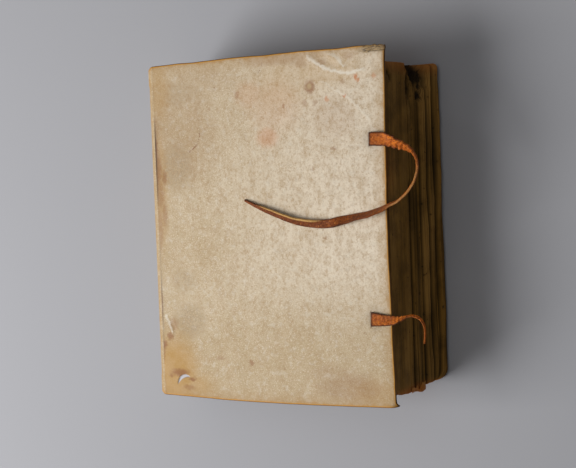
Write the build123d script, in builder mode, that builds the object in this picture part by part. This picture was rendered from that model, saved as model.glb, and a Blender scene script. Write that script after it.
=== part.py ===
from build123d import *
import math
import os

os.makedirs("parts", exist_ok=True)

# A manuscript book in a vellum wrapper, lying on its lower cover.
# X runs from spine to fore-edge, Y from tail to head, and Z is up from the surface below.
# The origin is under the middle of the book, on that surface.

# Whole book
book_thickness = 60.0
cover_length = 200.0
cover_reach = 156.4
upper_fore_edge_square = 1.6
head_square = 9.4
tail_square = 6.8

# Vellum wrapper: the lower cover narrows from the spine to its fore-edge
vellum_thickness = 0.8
turn_in_width = 22.0
turn_in_setback = 3.0
spine_turn_in_width = 12.0
lower_fore_edge_trim = 8.5
cover_corner_radius = 1.6
edge_rounding = 0.55
mitre_gap = 0.3
mitre_depth = 0.5
mitre_end_gap = 2.2

# Folds between the covers and the spine
joint_inset = 4.2
fold_clearance = 0.3
fold_lap = 1.0
shoulder_radius = 3.0
spine_bulge = 0.8

# Pastedowns
pastedown_thickness = 0.25
pastedown_margin = 4.0
pastedown_spine_margin = 5.0
pastedown_fit = 0.05
leaf_clearance = 0.3

# Text block of folded gatherings
gathering_count = 14
lower_gatherings = 3
middle_gatherings = 3
lower_ledge = 3.2
middle_ledge = 0.45
lower_end_extra = 1.2
fold_bevel_share = 0.3
leaf_edge_chamfer = 0.35
upper_corner_radius = 3.0
lower_head_corner_radius = 5.0
lower_tail_corner_radius = 13.0
fissure_height = 0.9
fissure_depth = 6.0
fissure_length = 122.0

# Sewing and spine
support_count = 4
support_inset = 38.5
support_width = 5.0
support_thickness = 1.2
support_end_gap = 2.4
support_edge_bevel = 0.3
thread_thickness = 0.5
thread_clearance = 0.4
thread_side_gap = 0.1
kettle_inset = 21.0
kettle_width = 1.8
lining_thickness = 0.4
lining_gap = 1.5
lining_end_gap = 2.0

# Endbands
endband_core_radius = 1.3
endband_thread = 0.9
endband_valley = 0.3
endband_groove = 0.8
endband_fit = 0.05
endband_ridge_count = 10
endband_sides = 8
endband_tail = 2.0
endband_inset = 3.0

# Leather ties through the upper cover
tie_thickness = 1.3
head_tie_width = 7.6
tail_tie_width = 7.8
slit_clearance = 0.15
head_slit_inset = 11.0
tail_slit_inset = 13.5
head_slit_from_edge = 51.2
tail_slit_from_edge = 49.1
tie_root_thickness = 0.5
tie_root_margin = 1.5
tie_lift = 0.1
tie_tip_thinning = 0.4
tie_midway = 0.5
arc_run_share = 0.45
strap_stations = 22

# Width shares of a tie at its neck, midway and at its tip
head_tie_narrowing = (1.0, 0.86, 0.2)
tail_tie_narrowing = (1.0, 0.42, 0.16)

# Shares of a tie's length where it starts and ends turning on its edge, then degrees there and at its tip
head_tie_turning = (0.06, 0.2, 68.0, 40.0)
tail_tie_turning = (0.25, 0.5, 60.0, 60.0)

# Crescent-shaped hole in the outer face of the upper cover
crescent_outer_radius = 5.2
crescent_inner_radius = 10.0
crescent_width = 1.7
crescent_from_spine = 18.8
crescent_from_tail = 7.7
crescent_heading = 108.0

# Places that follow from the sizes above
lower_standout = middle_gatherings * middle_ledge + lower_gatherings * lower_ledge
leaf_reach = cover_reach - upper_fore_edge_square
book_width = leaf_reach + lower_standout
spine_x = -book_width / 2
fore_x = spine_x + cover_reach
leaf_fore_x = spine_x + leaf_reach
joint_x = spine_x + joint_inset
head_y = cover_length / 2
lower_fore_length = cover_length - 2 * lower_fore_edge_trim
board_thickness = 2 * vellum_thickness
shoulder_x = spine_x + spine_bulge
spine_inner_x = shoulder_x + vellum_thickness
fold_x = spine_inner_x + thread_clearance + thread_thickness + support_thickness
strip_top = book_thickness - vellum_thickness - fold_clearance
strip_bottom = vellum_thickness + fold_clearance
block_bottom = board_thickness + pastedown_thickness + leaf_clearance
block_top = book_thickness - block_bottom
block_head_y = head_y - head_square
block_tail_y = -head_y + tail_square
gathering_thickness = (block_top - block_bottom) / gathering_count
middle_z = book_thickness / 2
support_bottom = block_bottom + support_end_gap
support_top = block_top - support_end_gap
outer_support_y = head_y - support_inset
support_spacing = 2 * outer_support_y / (support_count - 1)
support_ys = [index * support_spacing - outer_support_y for index in range(support_count)]
kettle_y = head_y - kettle_inset


def signed_box(low, high):
    """A box between two opposite corners, made outside any builder."""
    size = [abs(high[axis] - low[axis]) for axis in range(3)]
    centre = [(high[axis] + low[axis]) / 2 for axis in range(3)]
    return Pos(*centre) * Box(*size, mode=Mode.PRIVATE)


def cover_outline(low_x, high_x, inset, fore_length):
    """The cover's outline between two places along X, set in from its head and tail edges."""
    corners = []
    for corner_x in (low_x, high_x):
        share = (corner_x - joint_x) / (fore_x - joint_x)
        corners.append((corner_x, (cover_length + share * (fore_length - cover_length)) / 2 - inset))
    (near_x, near_y), (far_x, far_y) = corners
    with BuildSketch(Plane.XY) as outline:
        with BuildLine():
            Polyline((near_x, -near_y), (far_x, -far_y), (far_x, far_y), (near_x, near_y), close=True)
        make_face()
    return outline.sketch


def slab(outline, low_z, high_z):
    """The outline given a thickness between two heights, in either order."""
    with BuildPart() as sheet:
        extrude(outline, amount=abs(high_z - low_z))
    return Pos(0, 0, min(low_z, high_z)) * sheet.part


def turned_in_cover(outer_z, inward, fore_length):
    """A cover whose outer face is at outer_z; inward is +1 or -1, the way to the leaves.

    The vellum is doubled by turn-ins along head, tail and fore-edge, mitred at the corners.
    Its spine end is a half-round about the fold, so that it swings in its own place.
    """
    inner_z = outer_z + inward * vellum_thickness
    face_z = outer_z + inward * board_thickness
    pocket_reach = fore_x - turn_in_width
    setback_x = joint_x + turn_in_setback
    pocket = slab(cover_outline(joint_x, pocket_reach, turn_in_width, fore_length), inner_z, face_z)
    relief = slab(cover_outline(joint_x, setback_x, 0, fore_length), inner_z, face_z)
    full = slab(cover_outline(joint_x, fore_x, 0, fore_length), outer_z, face_z)
    mitre_length = turn_in_width * math.sqrt(2) - mitre_end_gap
    with BuildPart() as board:
        add(full)
        fillet(edges().filter_by(Axis.Z).group_by(Axis.X)[-1], cover_corner_radius)
        rim = edges().filter_by(Axis.Z, reverse=True).filter_by(lambda e: e.center().X > joint_x + fold_lap)
        outer_rim = rim.filter_by(lambda e: abs(e.center().Z - outer_z) < vellum_thickness)
        inner_rim = rim.filter_by(lambda e: abs(e.center().Z - face_z) < vellum_thickness)
        fillet(outer_rim, edge_rounding)
        chamfer(inner_rim, edge_rounding)
        add(pocket, mode=Mode.SUBTRACT)
        add(relief, mode=Mode.SUBTRACT)
        for side in (-1, 1):
            corner = (fore_x - turn_in_width / 2, side * (fore_length - turn_in_width) / 2)
            with BuildSketch(Plane.XY.offset(face_z)):
                with Locations(Location((corner[0], corner[1], 0), (0, 0, side * 45))):
                    Rectangle(mitre_length, mitre_gap)
            extrude(amount=-inward * mitre_depth, mode=Mode.SUBTRACT)
        with BuildSketch(Plane.XZ):
            with Locations((joint_x, (outer_z + inner_z) / 2)):
                Circle(vellum_thickness / 2)
        extrude(amount=head_y - edge_rounding, both=True)
    return board.part


def pastedown(outer_z, inward, fore_length):
    """A paper leaf that covers the inside of a cover and dips between its turn-ins."""
    pocket_face = outer_z + inward * (vellum_thickness + pastedown_fit)
    frame_face = outer_z + inward * (board_thickness + pastedown_fit)
    paper = inward * pastedown_thickness
    low_x = joint_x + pastedown_spine_margin
    dip_x = fore_x - turn_in_width - pastedown_fit
    dip_inset = turn_in_width + pastedown_fit
    leaf_outline = cover_outline(low_x, fore_x - pastedown_margin, pastedown_margin, fore_length)
    well_outline = cover_outline(low_x, dip_x, dip_inset, fore_length)
    hollow_outline = cover_outline(
        low_x, dip_x - pastedown_thickness, dip_inset + pastedown_thickness, fore_length
    )
    sheet = slab(leaf_outline, frame_face, frame_face + paper)
    well = slab(well_outline, pocket_face, frame_face + paper)
    hollow = slab(hollow_outline, pocket_face + paper, frame_face + paper)
    with BuildPart() as leaf:
        add(sheet)
        add(well)
        add(hollow, mode=Mode.SUBTRACT)
    return leaf.part


def slit(slit_x, slit_y, outer_z, inward, strap_width):
    """The cut through both layers of a cover for one tie."""
    half_width = tie_thickness / 2 + slit_clearance
    half_length = strap_width / 2 + slit_clearance
    past = inward * board_thickness
    return signed_box(
        (slit_x - half_width, slit_y - half_length, outer_z - past),
        (slit_x + half_width, slit_y + half_length, outer_z + 2 * past),
    )


def root_recess(slit_x, slit_y, strap_width):
    """The shallow bed in the turn-in of the upper cover for the pasted end of a tie."""
    inner_face = book_thickness - board_thickness
    half_length = strap_width / 2 + slit_clearance
    return signed_box(
        (root_end_x - slit_clearance, slit_y - half_length, inner_face),
        (slit_x, slit_y + half_length, inner_face + tie_root_thickness),
    )


# Tie places
head_slit_x = fore_x - head_slit_inset
tail_slit_x = fore_x - tail_slit_inset
head_slit_y = head_y - head_slit_from_edge
tail_slit_y = -head_y + tail_slit_from_edge
root_end_x = fore_x - turn_in_width + tie_root_margin

# Upper cover
crescent_plane = Plane(
    origin=(spine_x + crescent_from_spine, -head_y + crescent_from_tail, book_thickness),
    x_dir=Vector(1, 0, 0).rotate(Axis.Z, crescent_heading),
    z_dir=(0, 0, 1),
)
crescent_offset = crescent_inner_radius - crescent_outer_radius + crescent_width
upper_board = turned_in_cover(book_thickness, -1, cover_length)
with BuildPart() as upper_cover:
    add(upper_board)
    with BuildSketch(crescent_plane):
        Circle(crescent_outer_radius)
        with Locations((-crescent_offset, 0)):
            Circle(crescent_inner_radius, mode=Mode.SUBTRACT)
    extrude(amount=-vellum_thickness, mode=Mode.SUBTRACT)
    add(slit(head_slit_x, head_slit_y, book_thickness, -1, head_tie_width), mode=Mode.SUBTRACT)
    add(slit(tail_slit_x, tail_slit_y, book_thickness, -1, tail_tie_width), mode=Mode.SUBTRACT)
    add(root_recess(head_slit_x, head_slit_y, head_tie_width), mode=Mode.SUBTRACT)
    add(root_recess(tail_slit_x, tail_slit_y, tail_tie_width), mode=Mode.SUBTRACT)
upper_cover.part.label = "upper_cover"
export_step(upper_cover.part, "parts/upper_cover.step")

# Lower cover, with the empty slits of its lost ties
lower_board = turned_in_cover(0, 1, lower_fore_length)
with BuildPart() as lower_cover:
    add(lower_board)
    add(slit(head_slit_x, head_slit_y, 0, 1, head_tie_width), mode=Mode.SUBTRACT)
    add(slit(head_slit_x, tail_slit_y, 0, 1, tail_tie_width), mode=Mode.SUBTRACT)
lower_cover.part.label = "lower_cover"
export_step(lower_cover.part, "parts/lower_cover.step")

# Pastedowns
upper_pastedown = pastedown(book_thickness, -1, cover_length)
upper_pastedown.label = "upper_pastedown"
export_step(upper_pastedown, "parts/upper_pastedown.step")
lower_pastedown = pastedown(0, 1, lower_fore_length)
lower_pastedown.label = "lower_pastedown"
export_step(lower_pastedown, "parts/lower_pastedown.step")

# Spine of the wrapper: a bowed strip with rounded shoulders, turned in at head and tail


def bowed_section(depth):
    """The strip's section between its outer face and the same face set in by depth."""
    outer_x = shoulder_x
    arc_x = shoulder_x + shoulder_radius
    lap_x = joint_x + fold_lap
    centre_top = strip_top - shoulder_radius
    centre_bottom = strip_bottom + shoulder_radius
    with BuildSketch(Plane.XZ) as section:
        with BuildLine():
            Line((lap_x, strip_top), (arc_x, strip_top))
            RadiusArc((arc_x, strip_top), (outer_x, centre_top), -shoulder_radius)
            ThreePointArc((outer_x, centre_top), (spine_x, middle_z), (outer_x, centre_bottom))
            RadiusArc((outer_x, centre_bottom), (arc_x, strip_bottom), -shoulder_radius)
            Line((arc_x, strip_bottom), (lap_x, strip_bottom))
            offset(amount=depth, side=Side.LEFT)
        make_face()
    return section.sketch


doubled_section = bowed_section(board_thickness)
strip_section = bowed_section(vellum_thickness)
turned_in_y = head_y - spine_turn_in_width
spine_wall = signed_box(
    (spine_x, -head_y, strip_bottom + shoulder_radius),
    (joint_x, head_y, strip_top - shoulder_radius),
)
with BuildPart() as spine_inside:
    extrude(doubled_section, amount=head_y, both=True)
    extrude(strip_section, amount=head_y, both=True, mode=Mode.SUBTRACT)
    extrude(doubled_section, amount=turned_in_y, both=True, mode=Mode.SUBTRACT)
    add(spine_wall, mode=Mode.INTERSECT)
with BuildPart() as spine_cover:
    extrude(strip_section, amount=head_y, both=True)
    add(spine_inside.part)
spine_cover.part.label = "spine_cover"
export_step(spine_cover.part, "parts/spine_cover.step")

# Text block: folded gatherings, the lower ones standing out at the fore-edge


def standout(index):
    """How far gathering number index, counted from below, stands out past the upper ones."""
    lower = max(lower_gatherings - index, 0)
    middle = min(max(lower_gatherings + middle_gatherings - index, 0), middle_gatherings)
    return lower * lower_ledge + middle * middle_ledge


def gathering(index):
    """One gathering: blunt along its folds, bevelled along its cut edges."""
    lowest = index < lower_gatherings
    end_extra = lower_end_extra if lowest else 0
    head_radius = lower_head_corner_radius if lowest else upper_corner_radius
    tail_radius = lower_tail_corner_radius if lowest else upper_corner_radius
    high_x = leaf_fore_x + standout(index)
    low_y = block_tail_y - end_extra
    high_y = block_head_y + end_extra
    with BuildPart() as quire:
        with BuildSketch(Plane.XY.offset(block_bottom + index * gathering_thickness)):
            with Locations(((fold_x + high_x) / 2, (low_y + high_y) / 2)):
                Rectangle(high_x - fold_x, high_y - low_y)
            fillet(vertices().group_by(Axis.X)[-1].sort_by(Axis.Y)[-1], head_radius)
            fillet(vertices().sort_by(Axis.X)[-2:].sort_by(Axis.Y)[0], tail_radius)
        extrude(amount=gathering_thickness)
        cut_edges = edges().filter_by(Axis.Z, reverse=True)
        chamfer(cut_edges.filter_by(lambda e: e.center().X > fold_x + fold_lap), leaf_edge_chamfer)
        folds = edges().filter_by(Axis.Y).group_by(Axis.X)[0]
        chamfer(folds, gathering_thickness * fold_bevel_share)
    return quire.part


gatherings = [gathering(index) for index in range(gathering_count)]
fissure_z = block_bottom + (lower_gatherings + middle_gatherings) * gathering_thickness
fissure_x = leaf_fore_x + middle_ledge
with BuildPart() as text_block:
    for quire in gatherings:
        add(quire)
    with BuildSketch(Plane.XZ.offset(-block_tail_y + lower_end_extra)):
        with BuildLine():
            Polyline(
                (fissure_x, fissure_z - fissure_height / 2),
                (fissure_x, fissure_z + fissure_height / 2),
                (fissure_x - fissure_depth, fissure_z),
                close=True,
            )
        make_face()
    extrude(amount=-fissure_length, mode=Mode.SUBTRACT)
text_block.part.label = "text_block"
export_step(text_block.part, "parts/text_block.step")

# Sewing supports: flat thongs across the folds
for number, support_y in enumerate(support_ys, start=1):
    with BuildPart() as sewing_support:
        add(
            signed_box(
                (fold_x - support_thickness, support_y - support_width / 2, support_bottom),
                (fold_x, support_y + support_width / 2, support_top),
            )
        )
        outer_edges = edges().filter_by(Axis.Z).group_by(Axis.X)[0]
        chamfer(outer_edges, support_edge_bevel)
    sewing_support.part.label = f"sewing_support_{number}"
    export_step(sewing_support.part, f"parts/sewing_support_{number}.step")

# Sewing thread: one turn over each support for every gathering, and a chain of kettle stitches
thread_outer_x = fold_x - support_thickness - thread_thickness
thread_half_width = support_width / 2 + thread_side_gap + thread_thickness
with BuildPart() as sewing_thread:
    for index in range(gathering_count):
        stitch_z = block_bottom + (index + 0.5) * gathering_thickness
        if support_bottom < stitch_z < support_top:
            with BuildSketch(Plane.XY.offset(stitch_z - thread_thickness / 2)):
                for support_y in support_ys:
                    with Locations(((thread_outer_x + fold_x) / 2, support_y)):
                        Rectangle(fold_x - thread_outer_x, 2 * thread_half_width)
                    with Locations(((thread_outer_x + thread_thickness + fold_x) / 2, support_y)):
                        gap_width = 2 * (thread_half_width - thread_thickness)
                        Rectangle(fold_x - thread_outer_x - thread_thickness, gap_width, mode=Mode.SUBTRACT)
            extrude(amount=thread_thickness)
    for side in (-1, 1):
        for index in range(gathering_count - 1):
            link_z = block_bottom + (index + 1) * gathering_thickness
            lean = thread_thickness / 2 * (-1) ** index
            with Locations((fold_x - thread_thickness / 2, side * kettle_y + lean, link_z)):
                Box(thread_thickness, kettle_width, gathering_thickness)
sewing_thread.part.label = "sewing_thread"
export_step(sewing_thread.part, "parts/sewing_thread.step")

# Spine linings: one patch between each pair of supports, and one at either end
lining_margin = thread_half_width + lining_gap
lining_ends = [-kettle_y + kettle_width + lining_gap - lining_margin]
lining_ends += support_ys
lining_ends += [kettle_y - kettle_width - lining_gap + lining_margin]
for number in range(1, support_count + 2):
    with BuildPart() as spine_lining:
        add(
            signed_box(
                (fold_x - lining_thickness, lining_ends[number - 1] + lining_margin, block_bottom + lining_end_gap),
                (fold_x, lining_ends[number] - lining_margin, block_top - lining_end_gap),
            )
        )
    spine_lining.part.label = f"spine_lining_{number}"
    export_step(spine_lining.part, f"parts/spine_lining_{number}.step")

# Endbands: a rolled core with thread wound over it, at head and tail
endband_x = fold_x + endband_inset
winding_radius = endband_core_radius + endband_fit + endband_thread
winding_bottom = block_bottom + endband_tail
winding_top = block_top - endband_tail
ridge_pitch = (winding_top - winding_bottom) / endband_ridge_count
ridge_width = ridge_pitch - endband_groove
for end_name, end_y, outward in (("head", block_head_y, 1), ("tail", block_tail_y, -1)):
    endband_y = end_y + outward * (lower_end_extra + winding_radius + endband_fit)
    with BuildPart() as core:
        with BuildSketch(Plane.XY.offset(block_bottom)):
            with Locations((endband_x, endband_y)):
                Circle(endband_core_radius)
        extrude(amount=block_top - block_bottom)
    core.part.label = f"{end_name}_endband_core"
    export_step(core.part, f"parts/{end_name}_endband_core.step")
    with BuildPart() as winding:
        with BuildSketch(Plane((endband_x, endband_y, winding_bottom))):
            RegularPolygon(winding_radius - endband_valley, endband_sides)
        extrude(amount=winding_top - winding_bottom)
        for index in range(endband_ridge_count):
            ridge_z = winding_bottom + index * ridge_pitch + (ridge_pitch - ridge_width) / 2
            with BuildSketch(Plane((endband_x, endband_y, ridge_z))):
                RegularPolygon(winding_radius, endband_sides)
            extrude(amount=ridge_width)
        with Locations((endband_x, endband_y, (winding_bottom + winding_top) / 2)):
            Cylinder(endband_core_radius + endband_fit, winding_top - winding_bottom, mode=Mode.SUBTRACT)
    winding.part.label = f"{end_name}_endband_winding"
    export_step(winding.part, f"parts/{end_name}_endband_winding.step")

# Ties: flat leather straps that turn on edge as they leave the cover, then taper to a point


def smooth_step(value, start, end):
    """0 before start, 1 after end, and a smooth rise between them."""
    share = min(max((value - start) / (end - start), 0), 1)
    return share * share * (3 - 2 * share)


def route_radii(points):
    """For each inner corner, a share of its shorter run over the tangent of half its turn."""
    radii = []
    for before, corner, after in zip(points, points[1:], points[2:]):
        run_in = Vector(corner) - Vector(before)
        run_out = Vector(after) - Vector(corner)
        half_turn = math.radians(run_in.get_angle(run_out)) / 2
        radii.append(arc_run_share * min(run_in.length, run_out.length) / math.tan(half_turn))
    return radii


def tie(name, route, slit_x, slit_y, strap_width, narrowing, turning):
    """One strap: pasted root, neck through the slit, and the free length along its route.

    narrowing gives the shares of the width at the end of the neck, midway and at the tip;
    turning gives the start and end of the turn on to its edge and the angles midway and at the tip.
    """
    radii = route_radii(route)
    with BuildLine() as path:
        FilletPolyline(*route, radius=radii)
    wire = path.wires()[0]
    inner_face = book_thickness - board_thickness
    root = signed_box(
        (root_end_x, slit_y - strap_width / 2, inner_face),
        (slit_x + tie_thickness / 2, slit_y + strap_width / 2, inner_face + tie_root_thickness),
    )
    neck = signed_box(
        (slit_x - tie_thickness / 2, slit_y - strap_width / 2, inner_face),
        (slit_x + tie_thickness / 2, slit_y + strap_width / 2, route[0][2] + tie_thickness / 2),
    )
    with BuildPart() as strap:
        for station in range(strap_stations + 1):
            share = station / strap_stations
            heading = wire.tangent_at(share)
            across = heading.cross(Vector(0, 0, 1)).normalized()
            rise = across.cross(heading)
            early = smooth_step(share, turning[0], turning[1])
            late = smooth_step(share, turning[1], 1)
            turn = math.radians(early * turning[2] + late * (turning[3] - turning[2]))
            width_dir = across * math.cos(turn) + rise * math.sin(turn)
            taper = narrowing[0] + (narrowing[1] - narrowing[0]) * smooth_step(share, 0, tie_midway)
            taper += (narrowing[2] - narrowing[1]) * smooth_step(share, tie_midway, 1)
            thinning = 1 - tie_tip_thinning * share
            with BuildSketch(Plane(origin=wire.position_at(share), x_dir=width_dir, z_dir=heading)):
                Rectangle(strap_width * taper, tie_thickness * thinning)
        loft(ruled=True)
        add(neck)
        add(root)
    strap.part.label = name
    export_step(strap.part, f"parts/{name}.step")
    print(name, "length", round(wire.length, 1), "radii", [round(radius, 1) for radius in radii])


strap_z = book_thickness + tie_lift + tie_thickness / 2
head_route = [
    (head_slit_x, head_slit_y, strap_z),
    (78.5, 48.4, 61.3),
    (90.5, 42.5, 63.6),
    (93.0, 30.0, 64.9),
    (86.0, 20.0, 64.7),
    (70.0, 8.8, 64.1),
    (48.0, 3.6, 63.7),
    (28.0, 2.0, 63.3),
    (8.0, 6.3, 62.4),
    (-17.6, 17.4, 61.0),
]
tail_route = [
    (tail_slit_x, tail_slit_y, strap_z),
    (71.0, -51.6, 61.1),
    (78.0, -50.8, 62.0),
    (84.5, -47.8, 62.8),
    (91.0, -49.8, 62.9),
    (93.0, -56.5, 62.6),
    (91.8, -63.5, 62.2),
]
tie(
    "upper_head_tie",
    head_route,
    head_slit_x,
    head_slit_y,
    head_tie_width,
    head_tie_narrowing,
    head_tie_turning,
)
tie(
    "upper_tail_tie",
    tail_route,
    tail_slit_x,
    tail_slit_y,
    tail_tie_width,
    tail_tie_narrowing,
    tail_tie_turning,
)
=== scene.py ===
import bmesh
import bpy
import numpy as np
from mathutils import Matrix, Vector


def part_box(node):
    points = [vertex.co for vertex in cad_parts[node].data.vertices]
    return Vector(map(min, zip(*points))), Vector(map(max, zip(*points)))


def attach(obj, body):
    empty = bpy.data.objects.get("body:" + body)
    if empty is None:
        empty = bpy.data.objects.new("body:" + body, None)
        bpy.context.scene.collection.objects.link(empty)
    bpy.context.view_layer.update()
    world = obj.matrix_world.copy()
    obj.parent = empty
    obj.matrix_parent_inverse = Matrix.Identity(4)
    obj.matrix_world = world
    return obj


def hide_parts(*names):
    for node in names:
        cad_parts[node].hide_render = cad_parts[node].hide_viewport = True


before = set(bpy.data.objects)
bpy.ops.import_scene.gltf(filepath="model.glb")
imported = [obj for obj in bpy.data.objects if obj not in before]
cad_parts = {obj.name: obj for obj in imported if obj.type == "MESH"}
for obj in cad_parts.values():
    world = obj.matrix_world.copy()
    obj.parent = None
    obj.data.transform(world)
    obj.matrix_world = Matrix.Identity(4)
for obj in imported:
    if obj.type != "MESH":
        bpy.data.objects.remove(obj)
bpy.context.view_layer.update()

# Sizes are in millimetres, and meshes are written in metres
MM = 0.001
MERGE_DISTANCE = 2e-6


def node_box(name):
    """The lowest and the highest corner of a CAD node, in millimetres."""
    low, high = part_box(name)
    return np.array(low) / MM, np.array(high) / MM


# The book's main places, taken from the frame
cover_low, cover_high = node_box("upper_cover")
block_low, block_high = node_box("text_block")
SPINE_X = node_box("spine_cover")[0][0]
VELLUM = 0.8
BOARD = cover_high[2] - cover_low[2]
FOLD_RADIUS = VELLUM / 2
FOLD_X = cover_low[0]
JOINT_X = FOLD_X + FOLD_RADIUS
FORE_X = cover_high[0]
HEAD_Y = cover_high[1]
TOP_Z = cover_high[2]
TURN_IN = 22.0
FOLD_RELIEF = 3.0
LOWER_FORE_HALF = 91.5

# Each wave field: its seed, its number of sines, its longest and shortest wavelength, and its height
WAVE_FIELDS = {
    "cover_cockle": (11, 9, 95, 34, 0.22),
    "skin_fine": (23, 12, 9, 2.6, 0.035),
    "skin_wide": (29, 8, 22, 9, 0.05),
    "slit_pucker": (31, 5, 8, 4, 0.1),
    "frayed_face": (37, 6, 2.6, 0.9, 0.35),
    "head_edge": (41, 6, 40, 9, 0.25),
    "tail_edge": (43, 6, 60, 14, 0.12),
    "fore_edge": (47, 7, 50, 7, 0.16),
    "frayed_edge": (53, 5, 4, 1.4, 0.45),
    "worn_edge": (59, 5, 9, 2, 0.4),
    "fold_dirt": (61, 6, 60, 9, 0.3),
    "lower_inside": (67, 6, 40, 12, 0.06),
    "spine_roll": (71, 8, 50, 14, 0.22),
    "spine_fine": (73, 6, 10, 4, 0.08),
    "spine_crease": (79, 6, 50, 8, 0.35),
    "leaf_edge": (89, 7, 70, 12, 1),
    "gnawed_rim": (97, 8, 10, 1.6, 0.8),
    "gnawed_depth": (101, 6, 6, 1.6, 0.4),
    "groove_depth": (103, 5, 40, 8, 0.4),
    "leaf_colour": (131, 5, 160, 40, 0.25),
    "torn_edge": (137, 5, 8, 1.5, 1.5),
    "torn_curl": (139, 5, 6, 2, 0.25),
    "strap_side": (0, 7, 14, 2.5, 0.12),
    "strap_nicks": (1, 5, 3.4, 1.2, 0.24),
    "strap_crimps": (2, 8, 3.4, 1.0, 0.56),
    "strap_lumps": (3, 7, 9, 2.2, 0.07),
}
WAVE_GAIN = 1.6
LINE_SAMPLES = 6000


# Number fields


def smooth(value, start, end):
    """0 before start, 1 after end and an S-shaped rise between them."""
    share = np.clip((value - start) / (end - start), 0, 1)
    return share * share * (3 - 2 * share)


def profile(at, stops):
    """A value that eases from each (place, value) stop to the next, and is flat outside them."""
    places, values = np.array(stops, float).T
    before = np.clip(np.searchsorted(places, at, side="right") - 1, 0, len(places) - 2)
    share = smooth(at, places[before], places[before + 1])
    return values[before] + share * (values[before + 1] - values[before])


def waves(x, y, name, shift=0):
    """A named uneven field, between about minus and plus its height: sines in random directions.

    Their wavelengths fall from longest to shortest, and each weighs as much as its wavelength. The
    shift is added to the field's seed.
    """
    seed, count, longest, shortest, height = WAVE_FIELDS[name]
    draw = np.random.default_rng(seed + shift)
    total = np.zeros(np.broadcast(x, y).shape)
    weight = 0.0
    for wavelength in np.geomspace(longest, shortest, count):
        heading, phase = draw.uniform(0, 2 * np.pi, 2)
        way = x * np.cos(heading) + y * np.sin(heading)
        total = total + wavelength * np.sin(2 * np.pi * way / wavelength + phase)
        weight += wavelength
    return height * WAVE_GAIN * total / weight


def bell(value, centre, width):
    """1 at the centre, falling as a bell on both sides of it."""
    return np.exp(-(((value - centre) / width) ** 2))


def hill(x, y, centre, radii):
    """1 at the centre, falling as a bell with these radii along X and Y."""
    return np.exp(-(((x - centre[0]) / radii[0]) ** 2) - ((y - centre[1]) / radii[1]) ** 2)


def ridge(x, y, points, width):
    """A bell across the nearest stretch of a line through the points."""
    nearest = np.full(np.broadcast(x, y).shape, np.inf)
    for (ax, ay), (bx, by) in zip(points, points[1:]):
        run_x, run_y = bx - ax, by - ay
        share = np.clip(((x - ax) * run_x + (y - ay) * run_y) / (run_x**2 + run_y**2), 0, 1)
        away = np.hypot(x - ax - share * run_x, y - ay - share * run_y)
        nearest = np.minimum(nearest, away)
    return bell(nearest, 0, width)


def grid_lines(start, end, step, close_ups):
    """Places from start to end, step apart, and closer inside each (low, high, fine step) stretch.

    The number of lines per millimetre is summed along the way, and a line stands at each whole number.
    """
    fine = np.linspace(start, end, LINE_SAMPLES)
    density = np.full(fine.shape, 1 / step)
    for low, high, fine_step in close_ups:
        inside = smooth(fine, low - step, low) * (1 - smooth(fine, high, high + step))
        density = np.maximum(density, inside / fine_step)
    total = np.concatenate([[0], np.cumsum((density[1:] + density[:-1]) / 2 * np.diff(fine))])
    return np.interp(np.linspace(0, total[-1], int(np.ceil(total[-1])) + 1), total, fine)


# Mesh making


def quads(rows, columns, offset):
    """The corner numbers of each face of a grid of points that was written row by row."""
    corner = np.arange(rows - 1)[:, None] * columns + np.arange(columns - 1)[None, :] + offset
    faces = np.stack([corner, corner + 1, corner + columns + 1, corner + columns], axis=-1)
    return faces.reshape(-1, 4)


def grid_of(x, y, z):
    """A grid of points from their X, Y and Z, which may each be the same along a row or a column."""
    return np.stack(np.broadcast_arrays(x, y, z), -1)


def make_piece(name, grids, fields, body, finish, stands_for=()):
    """One closed mesh of several grids of points, in millimetres, with its point fields.

    Each field has one value or array a grid. Points in the same place are merged, which closes seams,
    rims and poles, and the faces are turned outwards.
    """
    points = np.concatenate([grid.reshape(-1, 3) for grid in grids]) * MM
    faces = []
    offset = 0
    for grid in grids:
        rows, columns = grid.shape[:2]
        faces.append(quads(rows, columns, offset))
        offset += rows * columns
    mesh = bpy.data.meshes.new(name)
    mesh.from_pydata(points, [], np.concatenate(faces))
    for field_name, values in fields.items():
        attribute = mesh.attributes.new(field_name, "FLOAT", "POINT")
        flat = np.concatenate([np.broadcast_to(v, g.shape[:2]).ravel() for v, g in zip(values, grids)])
        attribute.data.foreach_set("value", flat.astype(np.float32))
    work = bmesh.new()
    work.from_mesh(mesh)
    bmesh.ops.remove_doubles(work, verts=work.verts, dist=MERGE_DISTANCE)
    bmesh.ops.recalc_face_normals(work, faces=work.faces)
    work.to_mesh(mesh)
    work.free()
    mesh.shade_smooth()
    piece = bpy.data.objects.new(name, mesh)
    bpy.context.scene.collection.objects.link(piece)
    mesh.materials.append(finish)
    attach(piece, body)
    if stands_for:
        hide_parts(*stands_for)
    return piece


# Camera: the place and lens that line up the covers' corners with the photograph
CAMERA_PLACE = Vector((0.3152, 0.0242, 0.6427))
LOOK_DIRECTION = Vector((-0.46368, -0.04107, -0.88505))
IMAGE_UP = Vector((0.0147, 0.99843, -0.05403))
LENS_MM = 71.74
SENSOR_MM = 36.0


def place_camera():
    """A camera whose axes are the look direction, the image's up and their cross product."""
    data = bpy.data.cameras.new("camera")
    data.lens = LENS_MM
    data.sensor_width = SENSOR_MM
    camera = bpy.data.objects.new("camera", data)
    bpy.context.scene.collection.objects.link(camera)
    back = -LOOK_DIRECTION.normalized()
    right = IMAGE_UP.cross(back).normalized()
    turn = Matrix((right, back.cross(right), back)).transposed()
    camera.matrix_world = Matrix.Translation(CAMERA_PLACE) @ turn.to_4x4()
    bpy.context.scene.camera = camera


place_camera()


# Shader building


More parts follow.
